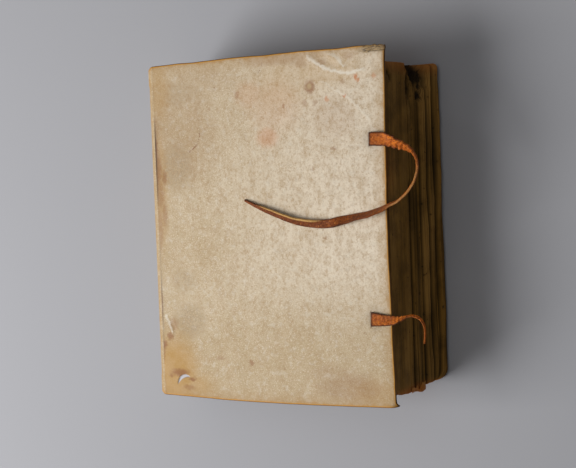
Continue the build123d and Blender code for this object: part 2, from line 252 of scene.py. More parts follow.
def wire(socket, value):
    """Joins a value to a socket: a link from another socket, or a plain value on it."""
    if isinstance(value, bpy.types.NodeSocket):
        socket.id_data.links.new(value, socket)
    else:
        socket.default_value = value


def tree_of(*values):
    """The node tree of the first socket among the values."""
    return next(value.id_data for value in values if isinstance(value, bpy.types.NodeSocket))


def add_node(tree, kind, inputs=None, **settings):
    """Adds a node with its settings and inputs, the inputs by name or number."""
    node = tree.nodes.new(kind)
    for key, value in settings.items():
        setattr(node, key, value)
    for key, value in (inputs or {}).items():
        wire(node.inputs[key], value)
    return node


def sums(operation, a, b=0.0):
    """One arithmetic step on numbers."""
    return add_node(tree_of(a, b), "ShaderNodeMath", {0: a, 1: b}, operation=operation).outputs[0]


def times(a, b):
    """One number times another."""
    return sums("MULTIPLY", a, b)


def plus(a, b):
    """One number added to another."""
    return sums("ADD", a, b)


def vectors(operation, a, b=(0.0, 0.0, 0.0), output="Vector"):
    """One arithmetic step on places, which gives a place, or a number where that output is named."""
    node = add_node(tree_of(a, b), "ShaderNodeVectorMath", {0: a, 1: b}, operation=operation)
    return node.outputs[output]


def span(value, low, high, start=0.0, end=1.0):
    """The value's smooth rise from start to end while it goes from low to high."""
    inputs = {"Value": value, "From Min": low, "From Max": high, "To Min": start, "To Max": end}
    return add_node(tree_of(value), "ShaderNodeMapRange", inputs, interpolation_type="SMOOTHSTEP").outputs[0]


def blend_colours(share, under, over):
    """Lays one colour over another by a share."""
    node = add_node(tree_of(share), "ShaderNodeMix", data_type="RGBA")
    wire(node.inputs["Factor"], share)
    wire(node.inputs["A"], under)
    wire(node.inputs["B"], over)
    return node.outputs["Result"]


def tone(red, green, blue):
    """A colour as it looks on a screen, from 0 to 255, turned by the sRGB curve into what nodes take."""
    screen = np.array([red, green, blue]) / 255
    linear = np.where(screen <= 0.04045, screen / 12.92, ((screen + 0.055) / 1.055) ** 2.4)
    return (*linear.tolist(), 1.0)


def layers(colour, coats):
    """Lays coats over a colour one after another, each a share and a colour as it looks on a screen."""
    for share, shade in coats:
        colour = blend_colours(share, colour, tone(*shade))
    return colour


def grain(place, per_mm, detail, rough, stretch=None):
    """Noise with so many features for each millimetre, stretched along an axis where asked."""
    if stretch is not None:
        place = vectors("MULTIPLY", place, stretch)
    inputs = {"Vector": place, "Scale": per_mm, "Detail": detail, "Roughness": rough}
    return add_node(tree_of(place), "ShaderNodeTexNoise", inputs).outputs[0]


def patches(place, name):
    """A named noise as patches: 0 where it's under its start, rising to its strength where it's full."""
    per_mm, detail, rough, start, full, strength, *stretch = PATCHES[name]
    return span(grain(place, per_mm, detail, rough, *stretch), start, full, 0.0, strength)


def cells(place, per_mm, feature="F1"):
    """The distance to scattered points, or to the borders of the cells round them."""
    inputs = {"Vector": place, "Scale": per_mm}
    return add_node(tree_of(place), "ShaderNodeTexVoronoi", inputs, feature=feature).outputs["Distance"]


def millimetre_place(tree):
    """The point's place in the book's frame, in millimetres."""
    place = add_node(tree, "ShaderNodeTexCoord").outputs["Object"]
    return vectors("MULTIPLY", place, (1 / MM, 1 / MM, 1 / MM))


def axis(place, name):
    """One of a place's three numbers."""
    return add_node(tree_of(place), "ShaderNodeSeparateXYZ", {0: place}).outputs[name]


def field(shader, name):
    """A number that was stored on the points of the meshes that the shader is for."""
    return add_node(shader.id_data, "ShaderNodeAttribute", attribute_name=name).outputs["Fac"]


def new_group(name, inputs, outputs):
    """An empty node group with named sockets; returns the group, its input node and its output node."""
    group = bpy.data.node_groups.new(name, "ShaderNodeTree")
    for direction, sockets in (("INPUT", inputs), ("OUTPUT", outputs)):
        for socket_name, kind in sockets.items():
            group.interface.new_socket(name=socket_name, in_out=direction, socket_type=kind)
    return group, group.nodes.new("NodeGroupInput"), group.nodes.new("NodeGroupOutput")


NUMBER = "NodeSocketFloat"
PLACE = "NodeSocketVector"

# Where a mask's rim begins and where it's full, as shares of its radius or half-width
BLOT_RIM = (1.45, 0.45)
STROKE_RIM = (1.0, 0.15)

# Each patchy noise: features per mm, detail, roughness, the noise where it starts and is full, its
# strength, and its stretch where it has one
PATCHES = {
    "Cloud": (0.022, 2, 0.5, 0.3, 0.7, 1),
    "Patch": (0.11, 4, 0.6, 0.3, 0.7, 1),
    "Speck": (0.75, 3, 0.6, 0.35, 0.7, 1),
    "tan_patches": (0.2, 6, 0.68, 0.42, 0.68, 0.55, (1.0, 0.62, 1.0)),
    "small_patches": (0.55, 6, 0.74, 0.46, 0.66, 0.6, (1.0, 0.8, 1.0)),
    "grey_patches": (0.28, 4, 0.6, 0.5, 0.72, 0.4),
    "flecks": (1.3, 4, 0.75, 0.5, 0.66, 0.6),
    "pits": (1.1, 3, 0.7, 0.56, 0.72, 0.5),
    "dust": (1.3, 3, 0.75, 0.46, 0.6, 0.6),
    "fibres": (1, 4, 0.7, 0.46, 0.56, 1, (0.35, 2.2, 1.0)),
    "wide_streaks": (1, 2, 0.5, 0.4, 0.6, 1, (0.012, 0.012, 0.3)),
    "soot": (0.05, 4, 0.6, 0.42, 0.68, 0.5),
    "leaf_spots": (0.32, 2, 0.5, 0.66, 0.74, 0.7),
    "foxing": (0.16, 5, 0.7, 0.64, 0.74, 0.5),
    "leather_clouds": (0.35, 3, 0.6, 0.42, 0.66, 0.42),
    "rubbed": (0.9, 3, 0.6, 0.56, 0.7, 0.5),
}

# Plain noises: features per mm, detail, roughness, and a stretch
TOOTH = (3.2, 2, 0.6)
RAGGEDNESS = (0.16, 4, 0.65)
LEAF_STREAKS = (1, 4, 0.6, (0.03, 0.03, 2.4))


def blot_group():
    """A mask that is 1 inside an ellipse about a centre and falls to 0 across its soft rim."""
    inputs = {"Place": PLACE, "Centre": PLACE, "Radii": PLACE}
    group, given, made = new_group("blot", inputs, {"Mask": NUMBER})
    away = vectors("SUBTRACT", given.outputs["Place"], given.outputs["Centre"])
    shares = vectors("DIVIDE", away, given.outputs["Radii"])
    reach = vectors("LENGTH", shares, output="Value")
    wire(made.inputs["Mask"], span(reach, *BLOT_RIM))
    return group


def stroke_group():
    """A mask that is 1 along a straight stroke and falls to 0 at its half-width."""
    inputs = {"Place": PLACE, "Start": PLACE, "Run": PLACE, "Half Width": NUMBER}
    group, given, made = new_group("stroke", inputs, {"Mask": NUMBER})
    run = given.outputs["Run"]
    away = vectors("SUBTRACT", given.outputs["Place"], given.outputs["Start"])
    along = vectors("DOT_PRODUCT", away, run, output="Value")
    square = vectors("DOT_PRODUCT", run, run, output="Value")
    ratio = sums("DIVIDE", along, square)
    share = add_node(group, "ShaderNodeClamp", {"Value": ratio}).outputs[0]
    scaled = add_node(group, "ShaderNodeVectorMath", {0: run, "Scale": share}, operation="SCALE")
    gap = vectors("SUBTRACT", away, scaled.outputs["Vector"])
    reach = vectors("LENGTH", gap, output="Value")
    relative = sums("DIVIDE", reach, given.outputs["Half Width"])
    wire(made.inputs["Mask"], span(relative, *STROKE_RIM))
    return group


def mottle_group():
    """Uneven colouring at four scales: wide clouds, patches, specks and a fine tooth."""
    outputs = {"Cloud": NUMBER, "Patch": NUMBER, "Speck": NUMBER, "Tooth": NUMBER}
    group, given, made = new_group("mottle", {"Place": PLACE}, outputs)
    place = given.outputs["Place"]
    for name in ("Cloud", "Patch", "Speck"):
        wire(made.inputs[name], patches(place, name))
    wire(made.inputs["Tooth"], grain(place, *TOOTH))
    return group


BLOT = blot_group()
STROKE = stroke_group()
MOTTLE = mottle_group()


def use_group(group, **inputs):
    """Places a shared group in its inputs' tree, with the inputs named in lower case."""
    node = add_node(tree_of(*inputs.values()), "ShaderNodeGroup", node_tree=group)
    for key, value in inputs.items():
        wire(node.inputs[key.replace("_", " ").title()], value)
    return node.outputs


def largest(masks):
    """The largest of several masks, each given with its strength."""
    total = None
    for mask, strength in masks:
        scaled = times(mask, strength)
        total = scaled if total is None else sums("MAXIMUM", total, scaled)
    return total


def blots(place, marks, depth=9.0):
    """The largest of several blots on the upper cover, whose masks reach so deep below its face.

    Each is (x, y, radius along X, radius along Y, strength), or (x, y, radius, strength) for a ball.
    """
    masks = []
    for x, y, *reach, strength in marks:
        radii = (*reach, depth) if len(reach) == 2 else (*reach, *reach, *reach)
        mask = use_group(BLOT, place=place, centre=(x, y, TOP_Z), radii=radii)["Mask"]
        masks.append((mask, strength))
    return largest(masks)


def strokes(place, lines):
    """The largest of several strokes on the upper cover, each (half-width, strength, points)."""
    masks = []
    for half_width, strength, points in lines:
        for (ax, ay), (bx, by) in zip(points, points[1:]):
            ends = {"start": (ax, ay, TOP_Z), "run": (bx - ax, by - ay, 0.0)}
            mask = use_group(STROKE, place=place, half_width=half_width, **ends)["Mask"]
            masks.append((mask, strength))
    return largest(masks)


def new_finish(name, roughness, shine=0.5):
    """A material with one Principled shader; returns the material and the shader."""
    finish = bpy.data.materials.new(name)
    finish.use_nodes = True
    shader = finish.node_tree.nodes["Principled BSDF"]
    shader.inputs["Roughness"].default_value = roughness
    shader.inputs["Specular IOR Level"].default_value = shine
    return finish, shader


def mottled_finish(name, roughness, shine=0.5):
    """A new material and its shader, the place in millimetres and the shared mottle."""
    finish, shader = new_finish(name, roughness, shine)
    place = millimetre_place(finish.node_tree)
    return finish, shader, place, use_group(MOTTLE, place=place)


def cover_with(shader, colour, height, depth_mm):
    """Joins a colour to the shader, and a height to its normal through one Bump node."""
    wire(shader.inputs["Base Color"], colour)
    inputs = {"Height": height, "Distance": depth_mm * MM, "Strength": 1.0}
    wire(shader.inputs["Normal"], add_node(shader.id_data, "ShaderNodeBump", inputs).outputs["Normal"])


# Vellum of the covers and the spine: marks of the upper cover, each x, y, its radius or its radii
# along X and Y, and its strength

UPPER_RUST = [
    (-0.8, 53.2, 7, 6, 0.34),
    (4, 70, 16, 14, 0.13),
    (-12, 78, 9, 8, 0.16),
    (48.7, 73.3, 1, 0.8),
    (55.8, 83.2, 1.2, 1.9, 0.75),
    (57, 81.4, 1.1, 1.2, 0.6),
    (37.6, 72.4, 1, 1.7, 0.5),
    (66.6, 83.5, 1.2, 1.6, 0.45),
]
UPPER_BROWN = [
    (-67.5, -86, 6.2, 2.4, 0.8),
    (-58.8, -89.6, 2.6, 1.2, 0.8),
    (-61.5, -94.8, 4, 1.6, 0.5),
    (27.3, 79.8, 3.2, 3.6, 0.75),
    (47.8, 81.6, 1.3, 0.35),
    (30.1, 70.7, 1.4, 2.2, 0.4),
    (23.8, 71.1, 1.6, 2.2, 0.4),
    (10.3, 70.3, 0.9, 1.7, 0.5),
    (40.8, 44.6, 1.8, 0.9, 0.5),
    (27.3, 33.7, 1, 0.4),
    (33.8, -5.5, 1.4, 0.9, 0.5),
    (55.7, -59.3, 0.8, 0.45),
    (4.4, -81, 0.8, 0.4),
    (-17.4, -78.3, 1.9, 1.6, 0.6),
    (-38.5, -76.1, 3, 1.3, 0.35),
    (-20.3, 78.7, 1.4, 2.2, 0.4),
    (-39.7, 71.8, 0.8, 1.4, 0.35),
    (-58.6, 73.7, 1.2, 0.3),
    (-70.8, -56.5, 3.4, 4, 0.4),
    (-73.4, -63.9, 2.4, 2.2, 0.75),
    (-78.2, -69.2, 2.4, 2.4, 0.75),
    (-79.6, -75.2, 1.5, 5, 0.75),
    (-74.2, -87.9, 1.5, 1.3, 0.6),
    (-78, 38.1, 3.4, 12, 0.6),
    (-73, 32.4, 1.8, 4.5, 0.55),
    (-76.6, 22.6, 3, 9, 0.45),
    (-73.8, 10, 2, 8, 0.4),
    (-77.5, 2, 2.2, 12, 0.4),
    (-79.3, 49.7, 2.6, 9, 0.8),
    (-78, 62, 4, 9, 0.3),
    (-79.4, -44, 1.4, 9, 0.6),
    (10, 97, 24, 3.2, 0.3),
    (22, 93.5, 4, 2.4, 0.28),
    (34.5, 93, 3.4, 2, 0.36),
    (52, 95.6, 3.6, 2.2, 0.3),
    (45.5, -90, 20, 8, 0.3),
    (36, -83, 15, 5, 0.18),
    (42, 62, 14, 12, 0.16),
    (-60, 60, 24, 34, 0.16),
    (-52, 88, 30, 9, 0.12),
]
UPPER_YELLOW = [
    (-77, 25, 6, 34, 0.45),
    (-72, -86, 17, 22, 0.85),
    (-66, -93, 22, 9, 0.55),
    (38, 88, 22, 9, 0.3),
    (-76, 84, 9, 16, 0.4),
    (14, 84, 20, 14, 0.22),
    (60, -92, 14, 8, 0.3),
]
YELLOW_DEPTH = 12.0
UPPER_RING = [(27.1, 80.3, 1.5, 1.7, 0.7)]
UPPER_MOULD = [
    (-58.5, -53.8, 10.5, 10.0, 1.0),
    (-62.0, -30.0, 8.0, 7.0, 0.7),
    (-64.0, 38.0, 10.0, 14.0, 0.75),
    (-60.0, 82.0, 10.0, 7.0, 0.5),
]

# Lines on the upper cover, each its half-width, its strength and its points
UPPER_CREASES = [
    (1.5, 0.75, [(26.7, 96.7), (33.0, 92.2), (39.5, 88.7), (50.0, 86.0), (60.0, 87.0)]),
    (1.3, 0.6, [(40.0, 97.4), (44.5, 95.2), (48.5, 90.0)]),
    (1.0, 0.35, [(34.3, 82.7), (51.1, 72.0), (63.3, 59.7)]),
    (1.0, 0.55, [(-76.3, -51.1), (-74.0, -56.0), (-71.8, -61.4)]),
    (1.2, 0.3, [(20.0, -40.8), (25.6, -41.8)]),
]
UPPER_SCRATCHES = [
    (0.7, 0.75, [(-46.6, 58.7), (-47.0, 55.2), (-49.2, 50.7), (-54.2, 47.2)]),
    (0.5, 0.5, [(-35.2, 84.4), (-36.4, 80.9)]),
    (0.5, 0.6, [(-5.6, 90.4), (-3.6, 93.0), (-2.6, 96.2)]),
    (0.35, 0.4, [(59.2, -56.1), (61.0, -56.3), (63.8, -56.0)]),
    (0.35, 0.35, [(14.2, -1.5), (20.4, -2.6)]),
    (0.35, 0.25, [(15.0, -52.0), (24.0, -52.6)]),
]

# The skin's own patches and their colours
VELLUM_PATCHES = {
    "tan_patches": (172, 144, 106),
    "small_patches": (166, 134, 94),
    "grey_patches": (212, 202, 184),
    "flecks": (228, 214, 188),
    "pits": (150, 122, 86),
}

# Rim colours: the distances from the rim where each starts and is full, its share before and after,
# and the colour
RAGGED_RIM = [((9.0, 0.0, 0.0, 0.42), (164, 126, 72)), ((2.4, 0.6, 0.0, 0.5), (170, 122, 50))]
# The even bands are partly painted light: the orange one is yellowing and a painted highlight on the rounded
# rim, and the dark brown one is partly painted shade where the rim turns under
EVEN_RIM_WITH_PAINTED_LIGHT = [((1.1, 0.7, 0.0, 0.85), (196, 136, 40)), ((0.6, 0.2, 0.0, 0.9), (88, 52, 16))]
RIM_WANDER = 6.0
WARP = (3.2, 3.2, 0.0)


def warped_place(place):
    """The place moved unevenly by up to a millimetre or so, which makes the drawn marks ragged."""
    noise = {"Vector": place, "Scale": 0.5, "Detail": 3.0}
    wobble = add_node(tree_of(place), "ShaderNodeTexNoise", noise).outputs["Color"]
    centred = vectors("SUBTRACT", wobble, (0.5, 0.5, 0.5))
    return vectors("ADD", place, vectors("MULTIPLY", centred, WARP))


def upper_marks(shader, colour, place, mottle):
    """The upper cover's stains, creases, scratches and mould, laid over the vellum's outer face."""
    outer = field(shader, "outer")
    warped = warped_place(place)
    broken = span(mottle["Speck"], 0.3, 0.62)
    marks = [
        (blots(warped, UPPER_YELLOW, YELLOW_DEPTH), (176, 134, 66)),
        (blots(warped, UPPER_BROWN), (138, 88, 44)),
        (blots(warped, UPPER_RUST), (192, 112, 52)),
        (blots(place, UPPER_RING), (190, 166, 126)),
        (strokes(warped, UPPER_CREASES), (226, 217, 200)),
        (times(strokes(place, UPPER_SCRATCHES), broken), (120, 66, 38)),
        (times(blots(warped, UPPER_MOULD), patches(place, "dust")), (118, 92, 56)),
    ]
    return layers(colour, [(times(share, outer), shade) for share, shade in marks])


def rim_colours(shader, colour, place):
    """Yellow, then orange and dark brown towards the vellum's rim, in ragged and in even bands; the even
    orange band is partly a painted highlight, and the even dark brown band partly painted shade.
    """
    rim = field(shader, "rim")
    raggedness = sums("SUBTRACT", grain(place, *RAGGEDNESS), 0.5)
    ragged = plus(rim, times(raggedness, RIM_WANDER))
    coats = [(span(ragged, *band), shade) for band, shade in RAGGED_RIM]
    coats += [(span(rim, *band), shade) for band, shade in EVEN_RIM_WITH_PAINTED_LIGHT]
    return layers(colour, coats)


def vellum(name, stained):
    """Aged calf vellum: greyish cream with tan clouds and specks, yellowed to orange-brown at its rims, with
    a painted highlight and painted shade at the very edge.

    The stained one also has the upper cover's own marks, creases, mould and dirt, and painted shade in its
    slits.
    """
    finish, shader, place, mottle = mottled_finish(name, 0.55, 0.3)
    along_y = axis(place, "Y")
    to_fore = span(axis(place, "X"), -72.0, 60.0)
    paler = times(to_fore, span(along_y, -78.0, -10.0, 0.2, 0.9))
    tail_side = span(along_y, -20.0, -80.0, 0.0, 0.55)
    wide = [
        (mottle["Cloud"], (180, 157, 120)),
        (paler, (224, 209, 187)),
        (tail_side, (176, 152, 112)),
    ]
    own = [(patches(place, noise), shade) for noise, shade in VELLUM_PATCHES.items()]
    pores = span(cells(place, 0.5), 0.17, 0.07)
    porous = times(times(pores, span(mottle["Patch"], 0.5, 0.9)), 0.55)
    colour = layers(tone(194, 175, 144), wide + own + [(porous, (128, 100, 68))])
    if stained:
        colour = upper_marks(shader, colour, place, mottle)
    colour = rim_colours(shader, colour, place)
    if stained:
        fibre = layers(tone(160, 132, 88), [(patches(place, "fibres"), (58, 42, 24))])
        colour = blend_colours(field(shader, "worn"), colour, fibre)
        # Dirt, with the painted shade in the slits, and the bare crescent hole
        dirt_and_shade = [(field(shader, "dirt_and_shade"), (62, 36, 14)), (field(shader, "bare"), (184, 183, 188))]
        colour = layers(colour, dirt_and_shade)
    wire(shader.inputs["Roughness"], span(mottle["Patch"], 0.0, 1.0, 0.48, 0.62))
    height = plus(times(mottle["Speck"], 0.5), mottle["Tooth"])
    cover_with(shader, colour, height, 0.07)
    return finish


# Paper of the leaves and pastedowns

RIB_SPACING = 1.2
CHAIN_SPACING = 26.0
TWIST_SPACING = 0.45


def laid_lines(place, spacing, across):
    """The fine ribs that a paper mould leaves, spacing apart along one axis."""
    turns = times(axis(place, across), 2 * np.pi / spacing)
    return span(sums("SINE", turns), -1.0, 1.0)


def leaf_page(place, mottle, inside):
    """The colour of a page: cream, with the mould's ribs and chain lines, and damp stains at its rim."""
    ribs = times(laid_lines(place, RIB_SPACING, "Y"), 0.12)
    chains = span(laid_lines(place, CHAIN_SPACING, "X"), 0.985, 1.0, 0.0, 0.25)
    cloudy = plus(inside, times(mottle["Cloud"], 14.0))
    coats = [
        (mottle["Patch"], (200, 178, 136)),
        (ribs, (176, 152, 110)),
        (chains, (170, 146, 104)),
        (span(cloudy, 26.0, 4.0, 0.0, 0.6), (150, 112, 62)),
    ]
    return layers(tone(214, 196, 158), coats)


def leaf_edges(shader, place, streaks, smoother):
    """The colour of the cut edges: streaked brown, paler where leaves stand out, partly as painted light,
    sooty, near black as painted shade in the gaps and the fissure, and darkened in the gnawed hollows.
    """
    along_y = axis(place, "Y")
    tail_end = span(along_y, -90.0, -96.0)
    head_end = span(along_y, 83.0, 94.0, 0.0, 0.75)
    near_fore = span(axis(place, "X"), 40.0, 72.0, 0.15, 0.75)
    coats = [
        (span(streaks, 0.32, 0.68), (150, 108, 42)),
        (times(patches(place, "wide_streaks"), smoother), (80, 56, 16)),
        # Paler where leaves stand out: partly their own colour, partly painted light
        (field(shader, "paler_and_lit"), (182, 136, 70)),
        (patches(place, "soot"), (66, 46, 16)),
        (patches(place, "leaf_spots"), (48, 34, 14)),
        (times(sums("MAXIMUM", tail_end, head_end), near_fore), (186, 108, 46)),
        # Near black: painted shade in the gaps between gatherings and in the fissure, and the darkened
        # gnawed hollows
        (times(field(shader, "gap_shade_and_hollows"), 0.93), (22, 17, 7)),
    ]
    return layers(tone(118, 84, 28), coats)


def leaf_paper():
    """Handmade rag paper: cream on the page, and worn, dirty brown along its cut edges.

    On the edges the grain is drawn out along each leaf, so that single leaves can be told apart.
    """
    finish, shader, place, mottle = mottled_finish("leaf_paper", 0.82, 0.2)
    inside = field(shader, "inside")
    streaks = grain(place, *LEAF_STREAKS)
    smoother = span(axis(place, "Z"), 24.0, 30.0, 1.0, 0.4)
    page = leaf_page(place, mottle, inside)
    edge = leaf_edges(shader, place, streaks, smoother)
    colour = blend_colours(span(inside, 0.4, 2.2), edge, page)
    streaked = times(times(streaks, smoother), 1.6)
    cover_with(shader, colour, plus(streaked, mottle["Tooth"]), 0.1)
    return finish


def plain_paper(name, light, dark, toned):
    """Laid paper with ribs, clouds and foxing; toned is the colour that creeps in from its rim."""
    finish, shader, place, mottle = mottled_finish(name, 0.8)
    ribs = laid_lines(place, RIB_SPACING, "Y")
    cloudy = plus(field(shader, "rim"), times(mottle["Cloud"], 10.0))
    coats = [
        (mottle["Patch"], dark),
        (times(ribs, 0.14), dark),
        (patches(place, "foxing"), toned),
        (span(cloudy, 22.0, 2.0, 0.0, 0.55), toned),
    ]
    colour = layers(tone(*light), coats)
    cover_with(shader, colour, plus(ribs, mottle["Tooth"]), 0.04)
    return finish


def solid_paper(name, light, dark):
    """Plain thick paper or skin for the hidden patches and thongs of the spine."""
    finish, shader, _, mottle = mottled_finish(name, 0.78)
    coats = [(mottle["Speck"], dark), (times(mottle["Patch"], 0.5), dark)]
    cover_with(shader, layers(tone(*light), coats), mottle["Tooth"], 0.08)
    return finish


def linen(name, light, dark):
    """Waxed linen thread: fine twist lines across it, over an uneven straw colour."""
    finish, shader, place, mottle = mottled_finish(name, 0.62)
    twist = laid_lines(place, TWIST_SPACING, "Z")
    coats = [(twist, light), (times(mottle["Speck"], 0.5), dark)]
    cover_with(shader, layers(tone(*dark), coats), twist, 0.08)
    return finish


def tie_leather():
    """Tanned leather gone orange-brown: bright and crazed near the slit, dark red-brown beyond, partly
    painted shade.

    Its cut edges are dark by the slit, partly painted contact shadow, and pale tan further out, partly a
    painted highlight; a painted highlight strip lies on its face, painted shade lies in its crimps, and
    pinholes prick its face.
    """
    finish, shader, place, mottle = mottled_finish("tie_leather", 0.55, 0.2)
    bright = layers(tone(222, 122, 30), [(mottle["Speck"], (180, 86, 20))])
    # The face beyond the slit is dark red-brown: partly the leather's own colour, partly painted shade
    far = layers(tone(128, 64, 24), [(mottle["Speck"], (92, 44, 18))])
    face = blend_colours(field(shader, "dark_and_shaded_face"), bright, far)
    borders = span(cells(place, 1.5, "DISTANCE_TO_EDGE"), 0.07, 0.0)
    cracks = times(borders, mottle["Patch"])
    pricks = times(span(cells(place, 0.85), 0.2, 0.12), field(shader, "pricked"))
    coats = [
        (patches(place, "leather_clouds"), (122, 62, 28)),
        (times(cracks, 0.8), (60, 26, 10)),
        (times(pricks, 0.85), (48, 20, 8)),
        (patches(place, "rubbed"), (222, 140, 60)),
        # Darker rims, partly dark cut edges and partly painted contact shadow, with painted shade in the
        # crimps' hollows
        (times(field(shader, "dark_edge_and_shade"), 0.88), (50, 21, 9)),
        # Pale cut edges, partly their own colour and partly a painted highlight, and a painted highlight
        # strip on the face
        (field(shader, "pale_edge_and_highlight"), (206, 160, 96)),
    ]
    height = sums("SUBTRACT", plus(mottle["Tooth"], mottle["Speck"]), cracks)
    height = sums("SUBTRACT", height, pricks)
    cover_with(shader, layers(face, coats), height, 0.14)
    return finish


# Upper and lower cover

CRESCENT_CENTRE = (-64.1, -92.3)
CRESCENT_OUTER, CRESCENT_INNER, CRESCENT_WIDTH = 5.2, 8.6, 2.0
CRESCENT_HEADING = np.radians(118)
CRESCENT_DEPTH = 0.62
HEAD_SLIT = (62.5, 48.8)
TAIL_SLIT = (60.0, -50.9)
CORNER_RADIUS = 2.2
RIM_LINES, FOLD_LINES = 5, 4

# Ridges of the upper cover's outer face: height (below 0 for a groove), half-width and points
UPPER_RIDGES = [
    (0.28, 1.6, [(26.7, 96.7), (39.5, 88.7), (60.0, 87.0)]),
    (0.22, 1.3, [(40.0, 97.4), (48.5, 90.0)]),
    (-0.2, 2.4, [(33.0, 96.0), (43.0, 91.0)]),
    (0.12, 1.4, [(34.3, 82.7), (51.1, 72.0), (63.3, 59.7)]),
    (0.25, 1.2, [(-76.3, -51.1), (-71.8, -61.4)]),
    (-0.22, 1.6, [(-74.2, -53.0), (-69.4, -61.6)]),
    (-0.1, 0.9, [(-2.9, 96.5), (-5.6, 90.4)]),
]

# Dirt at the upper cover's fore-edge corners: centre, reach along X and Y, and strength
UPPER_DIRT = [
    ((FORE_X, -HEAD_Y), (1.6, 1.9), 0.9),
    ((FORE_X, -HEAD_Y + 4), (0.8, 4), 0.6),
    ((FORE_X, HEAD_Y), (2.2, 3.4), 0.8),
    ((FORE_X, HEAD_Y - 8), (1.0, 9), 0.6),
]
FOLD_SMUDGE = ((FOLD_X, 46), (1.2, 16), 0.7)

# The frayed head corner's face, edge and bare fibres: where each begins and is full along X and Y
FRAYED_FACE = ((57, 66), (95.2, 97.6))
FRAYED_EDGE = ((60, 68), (HEAD_Y - 2.5, HEAD_Y))
BARE_FIBRES = ((56, 63), (96.2, 96.7))
FRAY_DEPTH = 0.3
PUCKER_REACH = (9, 9)

# How far the upper cover's edges bow: the head's and the tail's outwards, the fore-edge inwards
HEAD_BOW, TAIL_BOW, FORE_BOW = 0.6, 1.5, 1.3

# Its tail corner runs out in a nib: how far out and down, and its reach. Its head corner does a little.
NIB_OUT, NIB_DOWN, NIB_REACH = 1.4, 2.2, (1.7, 1.7)
CORNER_OUT, CORNER_OUT_REACH = 0.5, (2.5, 2.5)
CORNER_DOWN, CORNER_DOWN_REACH = 0.5, (9, 3.5)

# Stretches where small forms need closer points: from, to, and the step there
UPPER_CLOSE_X = [(-71.5, -57.0, 0.4), (59.5, 66.0, 0.55)]
UPPER_CLOSE_Y = [(-98.0, -86.5, 0.4), (94.5, 98.5, 0.6)]


def round_corners(x, y, half):
    """Moves the points of the square in each fore-edge corner into a quarter disc.

    With shares a and b from the square's inner corner, a point goes to a * sqrt(1 - b*b/2) and
    b * sqrt(1 - a*a/2). The cover is twice half long.
    """
    a = np.clip((x - (FORE_X - CORNER_RADIUS)) / CORNER_RADIUS, 0, 1)
    for side in (-1, 1):
        b = np.clip((side * (y - side * half) + CORNER_RADIUS) / CORNER_RADIUS, 0, 1)
        x = x - CORNER_RADIUS * a * (1 - np.sqrt(1 - b * b / 2))
        y = y - side * CORNER_RADIUS * b * (1 - np.sqrt(1 - a * a / 2))
    return x, y


def round_rim(distance, radius):
    """The half-thickness of a rounded rim as a share: a quarter circle that rises from 0 at the edge."""
    share = np.clip(distance / radius, 0, 1)
    return np.sqrt(1 - (1 - share) ** 2)


def rim_steps(radius, count):
    """Distances from an edge that divide its quarter circle evenly."""
    return radius * (1 - np.cos(np.linspace(0, np.pi / 2, count + 1)))


def with_rims(middle, low, high, steps):
    """Places between low and high with finer steps towards both ends."""
    return np.concatenate([low + steps[:-1], middle, high - steps[::-1][1:]])


def share_to_fore(x):
    """0 at the fold's joint and 1 at the fore-edge."""
    return np.clip((x - JOINT_X) / (FORE_X - JOINT_X), 0, 1)


def off_the_fold(x):
    """0 at the fold's joint, rising to 1 over the first few millimetres of the cover."""
    return smooth(x, JOINT_X, JOINT_X + 6)


def half_length(x, half_at_fore):
    """Half the cover's length at each x: it changes evenly from the fold to the fore-edge."""
    return HEAD_Y + share_to_fore(x) * (half_at_fore - HEAD_Y)


def upper_lift(x, y):
    """How far the upper cover has cockled up: a low dome, a lifted mid fore-edge and gentle waves."""
    dome_height, fore_height = 0.35, 0.75
    reach, fore_reach = 100, 46
    along = share_to_fore(x)
    across = np.clip(1 - (y / reach) ** 2, 0, 1)
    middle = np.clip(1 - (y / fore_reach) ** 2, 0, 1) ** 2
    arch = np.sin(np.pi * along)
    rolling = waves(x, y, "cover_cockle") * arch**0.5 * across
    return np.maximum(dome_height * arch * across + fore_height * along**3 * middle + rolling, 0)


def corner_share(x, y, stretches):
    """0 outside a corner and 1 in it: its rise along X times its rise along Y."""
    return smooth(x, *stretches[0]) * smooth(y, *stretches[1])


def no_lift(x, y):
    """No lift: the lower cover lies flat."""
    return 0 * x


def upper_relief(x, y):
    """Small forms of the upper cover's outer face: creases, dents, puckers and the frayed corner."""
    relief = 0 * x
    for height, width, points in UPPER_RIDGES:
        relief = relief + height * ridge(x, y, points, width)
    relief = relief + waves(x, y, "skin_fine") + waves(x, y, "skin_wide")
    pucker = hill(x, y, HEAD_SLIT, PUCKER_REACH) + hill(x, y, TAIL_SLIT, PUCKER_REACH)
    relief = relief + pucker * waves(x, y, "slit_pucker")
    return relief - corner_share(x, y, FRAYED_FACE) * (FRAY_DEPTH + waves(0.35 * x, y, "frayed_face"))


def crescent_mask(x, y):
    """1 inside the crescent hole: within its outer circle and outside its inner one."""
    softness = 0.2
    offset = CRESCENT_INNER - CRESCENT_OUTER + CRESCENT_WIDTH
    inner_x = CRESCENT_CENTRE[0] - offset * np.cos(CRESCENT_HEADING)
    inner_y = CRESCENT_CENTRE[1] - offset * np.sin(CRESCENT_HEADING)
    within = CRESCENT_OUTER - np.hypot(x - CRESCENT_CENTRE[0], y - CRESCENT_CENTRE[1])
    beyond = np.hypot(x - inner_x, y - inner_y) - CRESCENT_INNER
    return smooth(within, -softness, softness) * smooth(beyond, -softness, softness)


